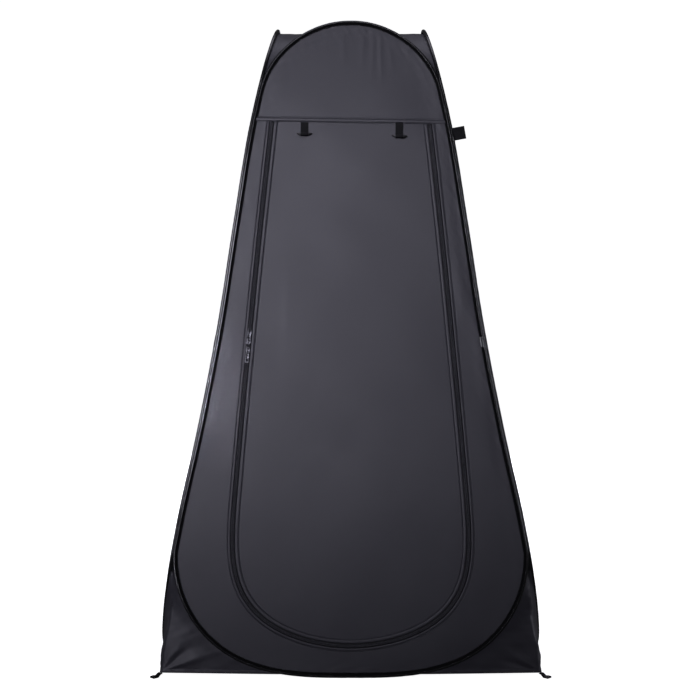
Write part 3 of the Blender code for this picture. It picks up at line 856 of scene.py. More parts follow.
@dataclass
class Walls:
    """The wall cloth: three plain walls, and the front with its header, surround and door."""

    cloth: float = 0.5 * MM
    row_step: float = 8 * MM
    columns: int = 90
    zip_points: int = 250
    tuck: float = 3.0 * MM
    slack: float = 0.5 * MM
    pucker: float = 0.5 * MM
    pucker_reach: float = 26 * MM
    hem_lift: float = 2.0 * MM
    # Where each hem starts and ends, from the middle of the zip
    outer_hem: tuple = (6.9 * MM, 15.0 * MM)
    door_hem: tuple = (7.9 * MM, 18.0 * MM)
    # Over which distances from its start and its end a hem rises and falls, and its height at its rim
    hem_edges: tuple = ((-0.5 * MM, 1.2 * MM), (-0.6 * MM, 0.9 * MM))
    hem_rim: float = 0.35
    groove: float = 1.0 * MM
    seam_rows: tuple = (0.0, 0.8, 1.9, 2.3, 2.7, 3.5, 5.5, 8.0, 9.8, 10.4, 11.0, 11.6, 12.4, 14.0, 17.0, 21.0)
    seam_lift: float = 1.3 * MM
    seam_top: tuple = (11.6 * MM, 13.6 * MM)
    seam_grooves: tuple = (0.8 * MM, 1.2 * MM)
    seam_groove_width: float = 0.9 * MM
    header_out: float = 0.3 * MM
    seam_stitches: tuple = (2.3, 11.0)
    seam_lap: float = 2.0 * MM
    # The flap ends just under the hinge, so that no part of it turns into the header
    door_over: float = -0.9 * MM
    # How far a hem's stitches lie inside its edge
    stitch_in: float = 1.6 * MM
    creases: tuple = (
        Crease(0.066, 1.812, 3, 0.062, 0.0080, 0.0008),
        Crease(0.088, 1.806, -2, 0.070, 0.0070, 0.0009),
        Crease(0.036, 1.820, 4, 0.050, 0.0095, 0.0007),
        Crease(-0.022, 1.822, -3, 0.052, 0.0100, 0.0006),
        Crease(0.118, 1.795, -6, 0.045, 0.0090, 0.0006),
        Crease(-0.205, 1.716, 35, 0.045, 0.0090, 0.0007),
        Crease(-0.190, 1.690, 48, 0.040, 0.0080, -0.0005),
        Crease(-0.186, 1.050, 2, 0.110, 0.0120, 0.0005),
        Crease(-0.341, 0.950, 11, 0.100, 0.0240, 0.0010),
        Crease(-0.393, 0.950, 11, 0.100, 0.0260, -0.0010),
        Crease(0.324, 1.090, -11, 0.085, 0.0260, 0.0018),
        Crease(0.372, 1.090, -11, 0.085, 0.0260, -0.0018),
    )

    def edge(self, count: int) -> np.ndarray:
        """The right half of a wall cloth's edge, tucked between the tails of its sleeve."""
        return resample(offset(hoop_half(), -self.tuck), count, ends=False)

    def relief(self, x: np.ndarray, z: np.ndarray, seed: int, to_edge: np.ndarray) -> np.ndarray:
        """The slack and the gathers of a wall.

        Args:
            x: Places across it.
            z: Heights.
            seed: Picks the ripple.
            to_edge: The distance to the sleeve.

        Returns:
            How far out the cloth lies at each place.
        """
        flat = step_up(to_edge, 0.0, 0.05)
        broad = waves(x, z, seed, 0.16, 0.60) * self.slack * 1.6 * flat
        fine = waves(x, z, seed + 1, 0.060, 0.16) * self.slack * 0.16 * flat
        gathers = waves(x, z, seed + 2, 0.012, 0.034) * self.pucker * np.exp(-to_edge / self.pucker_reach)
        return broad + fine + gathers

    def plain_wall(self, side: str, seed: int) -> None:
        """A wall of one cloth.

        Args:
            side: The wall.
            seed: Picks its ripple.
        """
        edge = self.edge(round(lengths_along(hoop_half())[-1] / self.row_step))
        even = np.linspace(-1, 1, self.columns)
        share = np.sin(even * math.pi / 2) * 0.35 + even * 0.65
        x = edge[:, :1] * share[None]
        z = np.broadcast_to(edge[:, 1:], x.shape)
        rows = FORM.on_wall(side, x, z, self.relief(x, z, seed, self.distance_to_edge(x, z, edge)))
        wall = self.panel(f"{side}_wall_cloth", x, z, rows)
        BENCH.ride(wall, "shell", "tent_cloth", f"{side}_wall")

    def panel(self, name: str, x: np.ndarray, z: np.ndarray, rows: np.ndarray) -> object:
        """A piece of wall cloth with its coated back, from its places across and up the wall and its points."""
        return BENCH.cloth(name, rows, layers(x, FORM.climb(z)), TENT_CLOTH, self.cloth, back=COATED_BACK)

    @staticmethod
    def distance_to_edge(x: np.ndarray, z: np.ndarray, edge: np.ndarray) -> np.ndarray:
        """How far each place lies from the nearest point of a wall's edge."""
        near = np.full(x.shape, 9.0)
        for px, pz in edge[::3]:
            near = np.minimum(near, np.hypot(np.abs(x) - px, z - pz))
        return near

    def front_relief(self, x: np.ndarray, z: np.ndarray, to_edge: np.ndarray = FAR_IN) -> np.ndarray:
        """The relief of the whole front, across header, surround and door."""
        total = self.relief(x, z, 11, to_edge)
        for crease in self.creases:
            total = total + crease.relief(x, z)
        return total

    def front_out(self, x: np.ndarray, z: np.ndarray) -> np.ndarray:
        """The front's relief with the gathers beside its sleeve."""
        return self.front_relief(x, z, self.distance_to_edge(x, z, self.edge(300)))

    def hem(self, distance: np.ndarray, span: tuple) -> np.ndarray:
        """The relief of a turned hem beside the zip, with its stitch line pulled in.

        Args:
            distance: The distance from the middle of the zip.
            span: Where the hem starts and ends.

        Returns:
            How far out the cloth lies.
        """
        start, width = span
        (up_from, up_to), (down_from, down_to) = self.hem_edges
        up = step_up(distance, start + up_from, start + up_to)
        down = 1 - step_up(distance, width + down_from, width + down_to)
        roll = self.hem_rim + (1 - self.hem_rim) * np.sqrt(np.clip(up, 0, 1))
        return self.hem_lift * roll * down - self.groove * bump(distance - width + self.stitch_in, 1.0 * MM)

    @staticmethod
    def under_seam(z: np.ndarray) -> np.ndarray:
        """How much of a hem's lift is left at each height, where it goes under the header seam."""
        return 1 - 0.9 * step_up(z, FORM.seam_height - 6 * MM, FORM.seam_height - 1 * MM)

    @staticmethod
    def hem_distances(span: tuple) -> np.ndarray:
        """Where mesh lines follow a hem: close together at its edges and its stitch line."""
        start = np.array([0.0, 0.3, 0.8, 1.5, 3.0]) * MM + span[0]
        end = np.array([-4.2, -2.9, -2.2, -1.6, -1.0, -0.4, 0.2, 0.9, 2.2, 5.0]) * MM + span[1]
        return np.concatenate([start, end])

    def zip_line(self, distance: float, count: int, over: float = seam_lap) -> np.ndarray:
        """The right half of a line that follows the zip at this distance, from the bottom to the header seam."""
        return resample(zip_half(distance, over), count)

    def surround(self) -> None:
        """The cloth between the zip and the hoop, below the header seam."""
        distances = self.hem_distances(self.outer_hem)
        lines = [whole(self.zip_line(d, self.zip_points)) for d in distances]
        edge = self.edge(900)
        outer = np.concatenate([[[0, edge[0, 1]]], below(edge, FORM.seam_height + self.seam_lap)])
        outer = whole(resample(outer, self.zip_points))
        last = lines[-1]
        lines += [last + (outer - last) * share for share in np.linspace(0, 1, 16)[1:]]
        grid = np.stack(lines, axis=1)
        x, z = grid[..., 0], grid[..., 1]
        hem = np.zeros(x.shape)
        hem[:, :len(distances)] = self.hem(distances, self.outer_hem)[None]
        hem *= self.under_seam(z)
        cloth = self.panel("door_surround_cloth", x, z, FORM.on_front(x, z, hem + self.front_out(x, z)))
        nodes = [f"front_{side}_jamb_{level}" for side in ("left", "right") for level in ("low", "middle", "high")]
        BENCH.ride(cloth, "shell", "tent_cloth", "front_sill", *nodes)

    def header(self) -> None:
        """The cloth above the seam, with its lapped lower edge."""
        edge = self.edge(1200)
        seam = np.array(self.seam_rows) * MM + FORM.seam_height
        above = resample(edge[edge[:, 1] > seam[-1] + 3 * MM], 60)
        half_x = np.concatenate([np.interp(seam, edge[:, 1], edge[:, 0])[:, None], above[:, :1]])
        z = np.concatenate([seam[:, None], above[:, 1:]])
        share = np.linspace(-1, 1, self.columns + 30)
        x = half_x * share[None]
        z = np.broadcast_to(z, x.shape)
        rise = z - FORM.seam_height
        lap = self.seam_lift * (1 - step_up(rise, *self.seam_top))
        grooves = sum(bump(rise - at * MM, self.seam_groove_width) * deep
                      for at, deep in zip(self.seam_stitches, self.seam_grooves))
        cloth = self.panel("header_cloth", x, z,
                           FORM.on_front(x, z, self.front_out(x, z) + lap - grooves + self.header_out))
        BENCH.ride(cloth, "shell", "tent_cloth", "front_header", "header_seam_band")
        for number, at in enumerate(self.seam_stitches):
            height = FORM.seam_height + at * MM
            reach = float(np.interp(height, edge[:, 1], edge[:, 0])) - 6 * MM
            line = np.stack([np.linspace(-reach, reach, 200), np.full(200, height)], axis=1)
            points, way = on_front_line(line, self.front_relief(*line.T) + self.seam_lift)
            STITCHING.sew(f"header_stitches_{number + 1}", points, way, "shell", "tent_cloth")

    def door(self) -> None:
        """The flap inside the zip, which hangs from the header seam."""
        distances = self.hem_distances(self.door_hem)
        lines = [self.zip_line(-d, self.zip_points, self.door_over) for d in distances]
        inner = lines[-1]
        share = np.linspace(-1, 1, self.columns + 1)
        x = inner[1:, :1] * share[None]
        z = np.broadcast_to(inner[1:, 1:], x.shape)
        strips = [whole(line) for line in lines[:-1]]
        points, uvs, faces = [], [], []

        def take(x: np.ndarray, z: np.ndarray, lift: np.ndarray) -> np.ndarray:
            """Adds points and returns their numbers."""
            start = sum(len(p) for p in points)
            points.append(FORM.on_front(x, z, lift + self.front_out(x, z)).reshape(-1, 3))
            uvs.append(layers(x, FORM.climb(z)).reshape(-1, 2))
            return np.arange(start, start + x.size).reshape(x.shape)

        def join(grid: np.ndarray) -> None:
            """Adds the quads of a grid of point numbers."""
            quads = np.stack([grid[:-1, :-1], grid[:-1, 1:], grid[1:, 1:], grid[1:, :-1]], axis=-1)
            faces.extend(tuple(q) for q in quads.reshape(-1, 4).tolist())

        bottom = take(np.array([0.0]), inner[:1, 1], np.zeros(1))[0]
        middle = take(x, z, np.zeros(x.shape))
        join(middle)
        faces.extend((int(bottom), b, a) for a, b in zip(middle[0].tolist(), middle[0, 1:].tolist()))
        rim = np.stack(strips, axis=1)
        hem = self.hem(distances[:-1], self.door_hem)[None] * self.under_seam(rim[..., 1])
        band = take(rim[..., 0], rim[..., 1], hem)
        border = np.concatenate([middle[::-1, 0], [bottom], middle[:, -1]])
        join(np.concatenate([band, border[:, None]], axis=1)[:, ::-1])
        flap = BENCH.piece("door_flap_cloth", np.concatenate(points), faces, TENT_CLOTH, np.concatenate(uvs))
        flap.data.materials.append(BENCH.material(COATED_BACK))
        thicken(flap, self.cloth, 0.0, 1)
        BENCH.ride(flap, "door", "tent_cloth", "door_flap")

    def zip_stitches(self) -> None:
        """The two lines of stitches that hold the hems to the zip's tapes."""
        for name, way_out, span, body in (("surround", 1, self.outer_hem, "shell"),
                                          ("door", -1, self.door_hem, "door")):
            line = whole(self.zip_line(way_out * (span[1] - self.stitch_in), 300))
            out = self.front_relief(*line.T) + self.hem_lift - self.groove + self.cloth
            points, way = on_front_line(line, out)
            STITCHING.sew(f"{name}_zip_stitches", points, way, body, "tent_cloth")

    def build(self) -> None:
        """Makes all the walls."""
        for number, side in enumerate(SIDES[1:]):
            self.plain_wall(side, 20 + 5 * number)
        self.surround()
        self.header()
        self.door()
        self.zip_stitches()


@dataclass
class Corners:
    """Strips of binding that join neighbouring sleeves, so that no gap shows at the four upright corners."""

    bottom: float = 0.300
    top: float = 1.735
    rows: int = 180
    thick: float = 0.8 * MM

    def build(self) -> None:
        """Makes the four strips."""
        z = np.linspace(self.bottom, self.top, self.rows)
        near = FORM.hoop_spread - SLEEVES.tube_out
        share = np.linspace(-0.05, 1.05, 5)
        depth = FORM.half_depth(z)
        for quarter, corner in enumerate(CORNERS):
            x = depth[:, None] - near * (1 - share)[None]
            y = -depth[:, None] + near * share[None]
            rows = quarter_turned(layers(x, y, z[:, None]), quarter)
            uv = layers(share[None] * near * math.sqrt(2), z[:, None])
            strip = BENCH.cloth(f"{corner}_corner_binding", rows, uv, BLACK_TAPE_AND_PAINTED_SHADE, self.thick)
            BENCH.ride(strip, "shell", "sleeve_cloth")


@dataclass
class Roof:
    """The roof cloth, drawn tight between the four arches."""

    crown: float = 1.8800
    power: float = 2.6
    corner: float = 1.720
    cloth: float = 0.5 * MM
    rim_inside: float = 0.4 * MM
    seam_in: float = 8.0 * MM
    seam_behind: float = 1.4 * MM
    rings: tuple = (1.0, 0.992, 0.982, 0.970, 0.955, 0.94, 0.92, 0.895, 0.87, 0.84, 0.80, 0.75, 0.70, 0.64, 0.58,
                    0.52, 0.46, 0.40, 0.33, 0.26, 0.19, 0.12, 0.06)
    sag: float = 2.2 * MM
    pucker: float = 0.9 * MM

    def rim(self) -> np.ndarray:
        """The edge of the cloth, in the sleeves, clockwise seen from above."""
        parts = []
        for side in ("front", "left", "back", "right"):
            place, wall_ward, tent_ward, _ = SLEEVES.frames(side)
            upright = step_up(np.abs(np.cross(tent_ward, wall_ward)[:, 2:]), 0.15, 0.85)
            across = self.seam_in * (1 - upright)
            behind = self.seam_behind * (1 - upright) + (SLEEVES.tube - self.rim_inside) * upright
            line = place + across * wall_ward + behind * tent_ward
            parts.append(line[place[:, 2] > self.corner])
        return np.concatenate(parts)

    def build(self) -> None:
        """Makes the roof with soft ripples, gathered a little at its edge."""
        rim = self.rim()
        share = np.array(self.rings)[None]
        x, y = rim[:, :1] * share, rim[:, 1:2] * share
        z = self.crown - (self.crown - rim[:, 2:]) * share**self.power
        loose = step_up(1 - share, 0.0, 0.18)
        gathers = waves(rim[:, :1] + rim[:, 1:2], rim[:, 2:] * 2, 71, 14 * MM, 36 * MM)
        z = z + (waves(x, y, 70, 0.05, 0.22) * self.sag * loose
                 + gathers * self.pucker * np.exp(-(1 - share) / 0.07) * step_up(1 - share, 0.0, 0.012))
        rows = np.stack([x, y, z], axis=-1)
        count, rings = rows.shape[:2]
        points = np.concatenate([rows.reshape(-1, 3), [[0, 0, self.crown]]])
        faces = grid_faces(count, rings, closed=True)
        last = np.arange(count) * rings + rings - 1
        faces += [(int(a), count * rings, int(b)) for a, b in zip(last, np.roll(last, -1))]
        roof = BENCH.piece("roof_cloth", points, faces, TENT_CLOTH, points[:, :2])
        roof.data.materials.append(BENCH.material(COATED_BACK))
        thicken(roof, self.cloth, 0.0, 1)
        BENCH.ride(roof, "shell", "tent_cloth", "roof")


@dataclass
class Gussets:
    """The cloth that closes each ground corner between two rounded hoop feet, with folds from its pegged point."""

    cloth: float = 0.5 * MM
    columns: int = 60
    row_step: float = 3.5 * MM
    round_fold: float = 0.011
    hem: float = 0.010
    stitch_drop: float = 2.6 * MM
    bottom: float = 0.0115
    rim_inside: float = 0.4 * MM
    # How far out, along X and along Y, the fold lies at each height
    fold_line: tuple = ((0.000, 0.5480), (0.013, 0.5455), (0.042, 0.5415), (0.071, 0.5370), (0.100, 0.5325),
                        (0.115, 0.5295), (0.144, 0.5230), (0.187, 0.5165), (0.229, 0.5128), (0.273, 0.5090),
                        (0.316, 0.5050), (0.333, 0.5035))

    # Folds of each corner as (angle above the ground, width in degrees, height at its middle, where that is)
    folds = {
        "front_left": (((20, 6.5, 4.6, 0.085), (33, 5.5, -3.4, 0.080), (51, 7.0, 3.4, 0.060), (66, 6.0, -2.4, 0.07)),
                       ((24, 7.0, 3.8, 0.080), (44, 7.0, -3.0, 0.070), (60, 7.0, 2.4, 0.06))),
        "front_right": (((36, 7.0, 3.0, 0.060), (20, 6.0, -2.4, 0.075), (54, 7.0, -2.2, 0.06)),
                        ((27, 7.0, 3.2, 0.075), (47, 8.0, -2.8, 0.07))),
        "back_right": (((23, 7.0, 4.0, 0.080), (40, 7.0, -3.0, 0.075), (57, 7.0, 2.6, 0.06)),
                       ((31, 7.0, 3.4, 0.070), (50, 7.0, -2.4, 0.07))),
        "back_left": (((28, 7.0, 3.6, 0.080), (46, 7.0, -2.8, 0.07)),
                      ((21, 6.0, 3.8, 0.085), (37, 6.0, -3.0, 0.075), (55, 7.0, 2.8, 0.06))),
    }

    def hoop_edge(self) -> np.ndarray:
        """The line on the front hoop's right foot where the gusset's cloth goes into the sleeve, from the hem up."""
        half = hoop_half()
        line = half[half[:, 1] < FORM.gusset_top + 0.03]
        line = resample(line, round(lengths_along(line)[-1] / self.row_step))
        place = FORM.on_wall("front", line[:, 0], line[:, 1])
        along = unit(np.gradient(place, axis=0))
        tent_ward = place - FORM.on_wall("front", line[:, 0], line[:, 1], 1.0)
        wall_ward = np.cross(along, tent_ward)
        turn = math.radians(45) * (1 + np.clip((FORM.gusset_top - place[:, 2:]) / 0.12, 0, 1))
        way = np.cos(turn) * tent_ward - np.sin(turn) * wall_ward
        out = SLEEVES.tube_out * SLEEVES.upright(wall_ward, tent_ward)
        edge = place - out * wall_ward + (SLEEVES.tube - self.rim_inside) * way
        first = int(np.argmax(edge[:, 2] > self.bottom))
        share = (self.bottom - edge[first - 1, 2]) / (edge[first, 2] - edge[first - 1, 2])
        start = edge[first - 1] + (edge[first] - edge[first - 1]) * share
        edge = np.concatenate([[start], edge[first:]])
        return edge[edge[:, 2] < FORM.gusset_top]

    def sheet(self, corner: str, quarter: int) -> None:
        """Makes one corner's cloth.

        Args:
            corner: Its name.
            quarter: How many right angles it is turned from the front right.
        """
        near = self.hoop_edge()
        far = near[:, [1, 0, 2]] * (-1, -1, 1)
        out = np.interp(near[:, 2], *np.array(self.fold_line).T)
        fold = np.stack([out, -out, near[:, 2]], axis=1)
        fold = fold + np.maximum(near[:, :1] + 0.6 * MM - fold[:, :1], 0) * (1, -1, 0)
        reach = np.linalg.norm(fold - near, axis=1)
        share = np.linspace(-1, 1, self.columns + 1)
        share = share * (0.55 + 0.45 * np.abs(share))
        # A rounded fold: the flat distance from it is eased, so that the cloth turns on a small radius
        radius = np.minimum(self.round_fold, 0.45 * reach)[:, None]
        flat = np.abs(share)[None] * reach[:, None]
        eased = np.where(flat < radius, (flat**2 + radius**2) / (2 * radius), flat)
        inward = (eased / reach[:, None])[..., None]
        edge = np.where((share < 0)[None, :, None], near[:, None], far[:, None])
        rows = fold[:, None] + (edge - fold[:, None]) * inward
        rows = rows + self.relief(corner, share, flat, reach, near)[..., None] * self.outward(near, far, fold, share)
        rows = quarter_turned(rows, quarter)
        uv = layers(np.sign(share)[None] * flat, near[:, 2:])
        gusset = BENCH.cloth(f"{corner}_gusset_cloth", rows, uv, TENT_CLOTH, self.cloth, back=COATED_BACK)
        names = corner.split("_")
        BENCH.ride(gusset, "shell", "tent_cloth", f"{corner}_gusset_{names[0]}", f"{corner}_gusset_side")
        self.hem_stitches(corner, rows)

    def relief(self, corner: str, share: np.ndarray, flat: np.ndarray, reach: np.ndarray,
               near: np.ndarray) -> np.ndarray:
        """The folds that run up from the pegged corner, the hem's welt and a fine ripple.

        Args:
            corner: The corner's name.
            share: How far across each column lies, -1 to 1.
            flat: The distance of each point from the fold.
            reach: The distance from the fold to the sleeve for each row.
            near: The edge in the sleeve, for its heights.

        Returns:
            How far out the cloth lies at each point.
        """
        rise = np.broadcast_to(near[:, 2:] - self.bottom, flat.shape)
        from_point = np.hypot(flat, rise)
        angle = np.degrees(np.arctan2(rise, flat))
        free = step_up(reach[:, None] - flat, 0.0, 0.016) * step_up(rise, 0.000, 0.020)
        total = np.zeros(flat.shape)
        for half, folds in zip((share < 0, share >= 0), self.folds[corner]):
            side = np.zeros(flat.shape)
            for bearing, width, height, middle in folds:
                side += height * MM * bump(angle - bearing, width) * bump(from_point - middle, 0.75 * middle)
            total = np.where(half[None], side, total)
        seed = 80 + CORNERS.index(corner)
        ripple = waves(flat * np.sign(share)[None] + 0.3, rise, seed, 0.022, 0.110) * 0.8 * MM
        welt = 0.8 * MM * (1 - step_up(rise, self.hem - 1.5 * MM, self.hem))
        groove = 0.5 * MM * bump(rise - self.hem + self.stitch_drop, 0.9 * MM)
        return (total + ripple) * free + (welt - groove) * step_up(reach[:, None] - flat, 0.0, 0.004)

    @staticmethod
    def outward(near: np.ndarray, far: np.ndarray, fold: np.ndarray, share: np.ndarray) -> np.ndarray:
        """The way out of the cloth at each point, turning smoothly round the fold."""
        diagonal = np.array([1, -1, 0]) / math.sqrt(2)
        ways = []
        for edge, sign in ((near, 1), (far, -1)):
            ways.append(unit(sign * np.cross(fold - edge, (0, 0, 1.0))))
        turn = step_up(np.abs(share), 0.0, 0.25)[None, :, None]
        side = np.where((share < 0)[None, :, None], ways[0][:, None], ways[1][:, None])
        return unit(diagonal * (1 - turn) + side * turn)

    def hem_stitches(self, corner: str, rows: np.ndarray) -> None:
        """The stitches along the hem, a little below its top."""
        heights = rows[:, self.columns // 2, 2]
        row = int(np.argmin(np.abs(heights - self.bottom - self.hem + self.stitch_drop)))
        line = rows[row, 2:-2]
        out = unit(np.cross(np.gradient(line, axis=0), (0, 0, 1.0)))
        STITCHING.sew(f"{corner}_hem_stitches", line + out * 0.3 * MM, out, "shell", "tent_cloth")

    def build(self) -> None:
        """Makes the four corners."""
        for quarter, corner in enumerate(CORNERS):
            self.sheet(corner, quarter)


@dataclass
class ZipFastener:
    """Both halves of the zip: woven tapes under the hems, and the coil's teeth, which mesh along the middle."""

    long: float = 3.47
    tape_in: float = -0.8 * MM
    tape_out: float = 10.8 * MM
    tape_thick: float = 0.5 * MM
    tape_low: float = 0.3 * MM
    pitch: float = 2.6 * MM
    tooth: tuple = (5.0 * MM, 1.25 * MM, 1.3 * MM)
    tooth_middle: float = 1.9 * MM
    tooth_out: float = 0.6 * MM

    def line(self, distance: float, count: int, over: float = 1.0 * MM) -> np.ndarray:
        """A line that follows the zip, up to the header seam or a little over it."""
        return whole(resample(zip_half(distance, over), count))

    def tape(self, name: str, way: int, body: str, node: str) -> None:
        """Makes one half's tape.

        Args:
            name: Its name.
            way: 1 for the outer half and -1 for the door's.
            body: The body that it moves with.
            node: The frame's node that it replaces.
        """
        inner = self.tape_in if way > 0 else 0.2 * MM
        distances = np.array([inner, 1.4 * MM, 3.0 * MM, 3.4 * MM, 4.0 * MM, 5.0 * MM, 6.0 * MM, self.tape_out])
        heights = np.array([-0.9 if way > 0 else 0, 0, 0, 0, 0, -0.4, -0.8, -0.8]) * MM - self.tape_low
        order = range(len(distances)) if way > 0 else range(len(distances) - 1, -1, -1)
        # The door's tape ends under the hinge, so that no part of it turns into the tent
        over = 1.0 * MM if way > 0 else -1.6 * MM
        grid = np.stack([self.line(way * distances[i], 420, over) for i in order], axis=1)
        relief = WALLS.front_relief(grid[..., 0], grid[..., 1])
        heights = np.broadcast_to(heights[list(order)][None], relief.shape).copy()
        if way > 0:
            # Near the header seam its inner edge dips, so that the door's tape can turn past it
            heights[:, 0] -= 2.4 * MM * step_up(grid[:, 0, 1], FORM.seam_height - 9 * MM, FORM.seam_height - 4 * MM)
        rows = FORM.on_front(grid[..., 0], grid[..., 1], relief + heights)
        run = np.linspace(0, self.long, len(rows))
        uv = layers(way * distances[list(order)][None], run[:, None])
        tape = BENCH.cloth(name, rows, uv, ZIP_TAPE, self.tape_thick)
        BENCH.ride(tape, body, "zip_tape", node)

    def tooth_shape(self) -> object:
        """Models one turn of the coil at the origin: X along the zip, Y towards its own tape, Z out."""
        long, wide, high = self.tooth
        tooth = block((wide, long * 0.62, high))
        with edit_mode():
            for way, drop in ((-1, -0.25), (1, -0.30)):
                select_faces(tooth, lambda face: face.normal.y * way > 0.9)
                extrude((0, way * long * 0.19, drop * high), (0.7, 1, 0.55))
        return tooth

    def coil(self, name: str, way: int, body: str) -> None:
        """Makes one half's coil.

        Args:
            name: Its name.
            way: 1 for the outer half and -1 for the door's.
            body: The body that it moves with.
        """
        line = self.line(0.0, 3000)
        lengths = lengths_along(line)
        # The door's coil stops two turns short of the hinge at the header seam
        short = 1 if way > 0 else 3
        count = int(lengths[-1] / self.pitch) - 2 * short
        wanted = (np.arange(count) + (short - 0.25 if way > 0 else short - 0.75)) * self.pitch
        line = at_lengths(line, lengths, wanted)
        points, out = on_front_line(line, WALLS.front_relief(*line.T) + self.tooth_out)
        frames = frames_along(points, unit(out))
        # The line runs down the left leg, so its across axis points into the door
        frames[:, :2] *= -1 if way > 0 else 1
        places = points + frames[:, 1] * self.tooth_middle
        BENCH.ride(repeated(name, self.tooth_shape(), places, frames, NYLON_COIL), body, "zip_tape")

    def build(self) -> None:
        """Makes both halves."""
        self.tape("outer_zip_tape", 1, "shell", "zip_outer_half")
        self.tape("door_zip_tape", -1, "door", "zip_door_half")
        self.coil("outer_zip_coil", 1, "shell")
        self.coil("door_zip_coil", -1, "door")


def wall_frame(x: float, z: float, out: float) -> Matrix:
    """The placing of a small piece on the front wall: X across, Y into the wall, Z up the wall."""
    place = Vector(FORM.on_wall("front", x, z, out))
    inward = (Vector(FORM.on_wall("front", x, z)) - Vector(FORM.on_wall("front", x, z, 1.0))).normalized()
    across = Vector((1, 0, 0))
    turn = Matrix((across, inward, across.cross(inward))).transposed().to_4x4()
    return Matrix.Translation(place) @ turn


def webbing(name: str, points: np.ndarray, across: np.ndarray, run: np.ndarray, placing: Matrix, thick: float,
            back: bool = False) -> object:
    """A length of webbing.

    Args:
        name: Its name.
        points: Its points about its own origin, as rows x columns x 3.
        across: How far across the webbing each column lies.
        run: How far along the webbing each row lies.
        placing: Where it goes.
        thick: Its thickness.
        back: Whether its rows have to be turned round to face outwards.

    Returns:
        The object.
    """
    rows, uv = placed(points, placing), layers(across[None], run[:, None])
    turn = -1 if back else 1
    return BENCH.cloth(name, rows[:, ::turn], uv[:, ::turn], WEBBING, thick)


def zip_turn(z: float) -> Matrix:
    """The lean of the zip's left leg at this height, as a turn about the wall's normal."""
    lean = float(FORM.zip_half_width(z + 0.01) - FORM.zip_half_width(z - 0.01)) / 0.02
    return Matrix.Rotation(math.atan(-lean), 4, "Y")


def put(piece: object, name: str, placing: Matrix) -> object:
    """Names a piece and moves its mesh to its place, with its object left at the origin."""
    piece.name = name
    piece.data.name = name
    piece.data.transform(placing)
    return piece


class Way(Enum):
    """Which way a slider's nose and its pull tab point along the zip."""

    UP = 1
    DOWN = -1


@dataclass
class Slider:
    """A die-cast zip slider, with the bridge that its pull tab hangs from."""

    name: str
    height: float
    way: Way
    cloth_face: float = 1.3 * MM
    size: tuple = (12.5 * MM, 2.2 * MM, 18.0 * MM)
    bridge: tuple = (3.0 * MM, 3.6 * MM, 13.0 * MM)
    bridge_thick: float = 1.0 * MM
    pivot_back: float = 4.4 * MM

    def body(self) -> object:
        """Models the shield: wide at its nose, narrow at its tail and dished."""
        wide, thick, long = self.size
        body = block((wide, thick, long), (0, -thick / 2, 0))
        with edit_mode():
            bpy.ops.mesh.select_all(action="SELECT")
            bpy.ops.mesh.subdivide(number_cuts=3)
            for end, scale in ((-self.way.value, (0.66, 1, 1)), (self.way.value, (0.84, 0.9, 1))):
                select_faces(body, lambda face: face.normal.z * end > 0.9)
                bpy.ops.transform.resize(value=scale)
            select_faces(body, lambda face: face.normal.y < -0.9 and abs(face.calc_center_median().x) < wide * 0.3
                         and abs(face.calc_center_median().z) < long * 0.3)
            bpy.ops.mesh.inset(thickness=1.0 * MM, depth=-0.35 * MM)
        finish_hard(body, PLATED_ZINC, bevel=0.55 * MM, segments=3)
        return body

    def arch(self) -> object:
        """Models the bridge: a bowed bar whose two feet stand on the shield."""
        wide, high, long = self.bridge
        thick = self.size[1]
        bar = block((wide, self.bridge_thick, long * 0.55), (0, -thick - high + self.bridge_thick / 2, 0))
        with edit_mode():
            for way in (1, -1):
                select_faces(bar, lambda face: face.normal.z * way > 0.9)
                extrude((0, 0.35 * high, way * long * 0.14))
                extrude((0, 0.72 * high, way * long * 0.06))
        finish_hard(bar, PLATED_ZINC, bevel=0.3 * MM, segments=2)
        return bar

    def build(self) -> None:
        """Places the slider on the zip's left leg, head to head with the other."""
        x = -float(FORM.zip_half_width(self.height))
        placing = wall_frame(x, self.height, self.cloth_face) @ zip_turn(self.height)
        placing = placing @ Matrix.Translation((0, 0, -self.way.value * self.pivot_back))
        body = put(self.body(), f"{self.name}_slider_shield", placing)
        BENCH.ride(body, "door", "zip_metal", f"{self.name}_zip_slider")
        BENCH.ride(put(self.arch(), f"{self.name}_slider_bridge", placing), "door", "zip_metal")


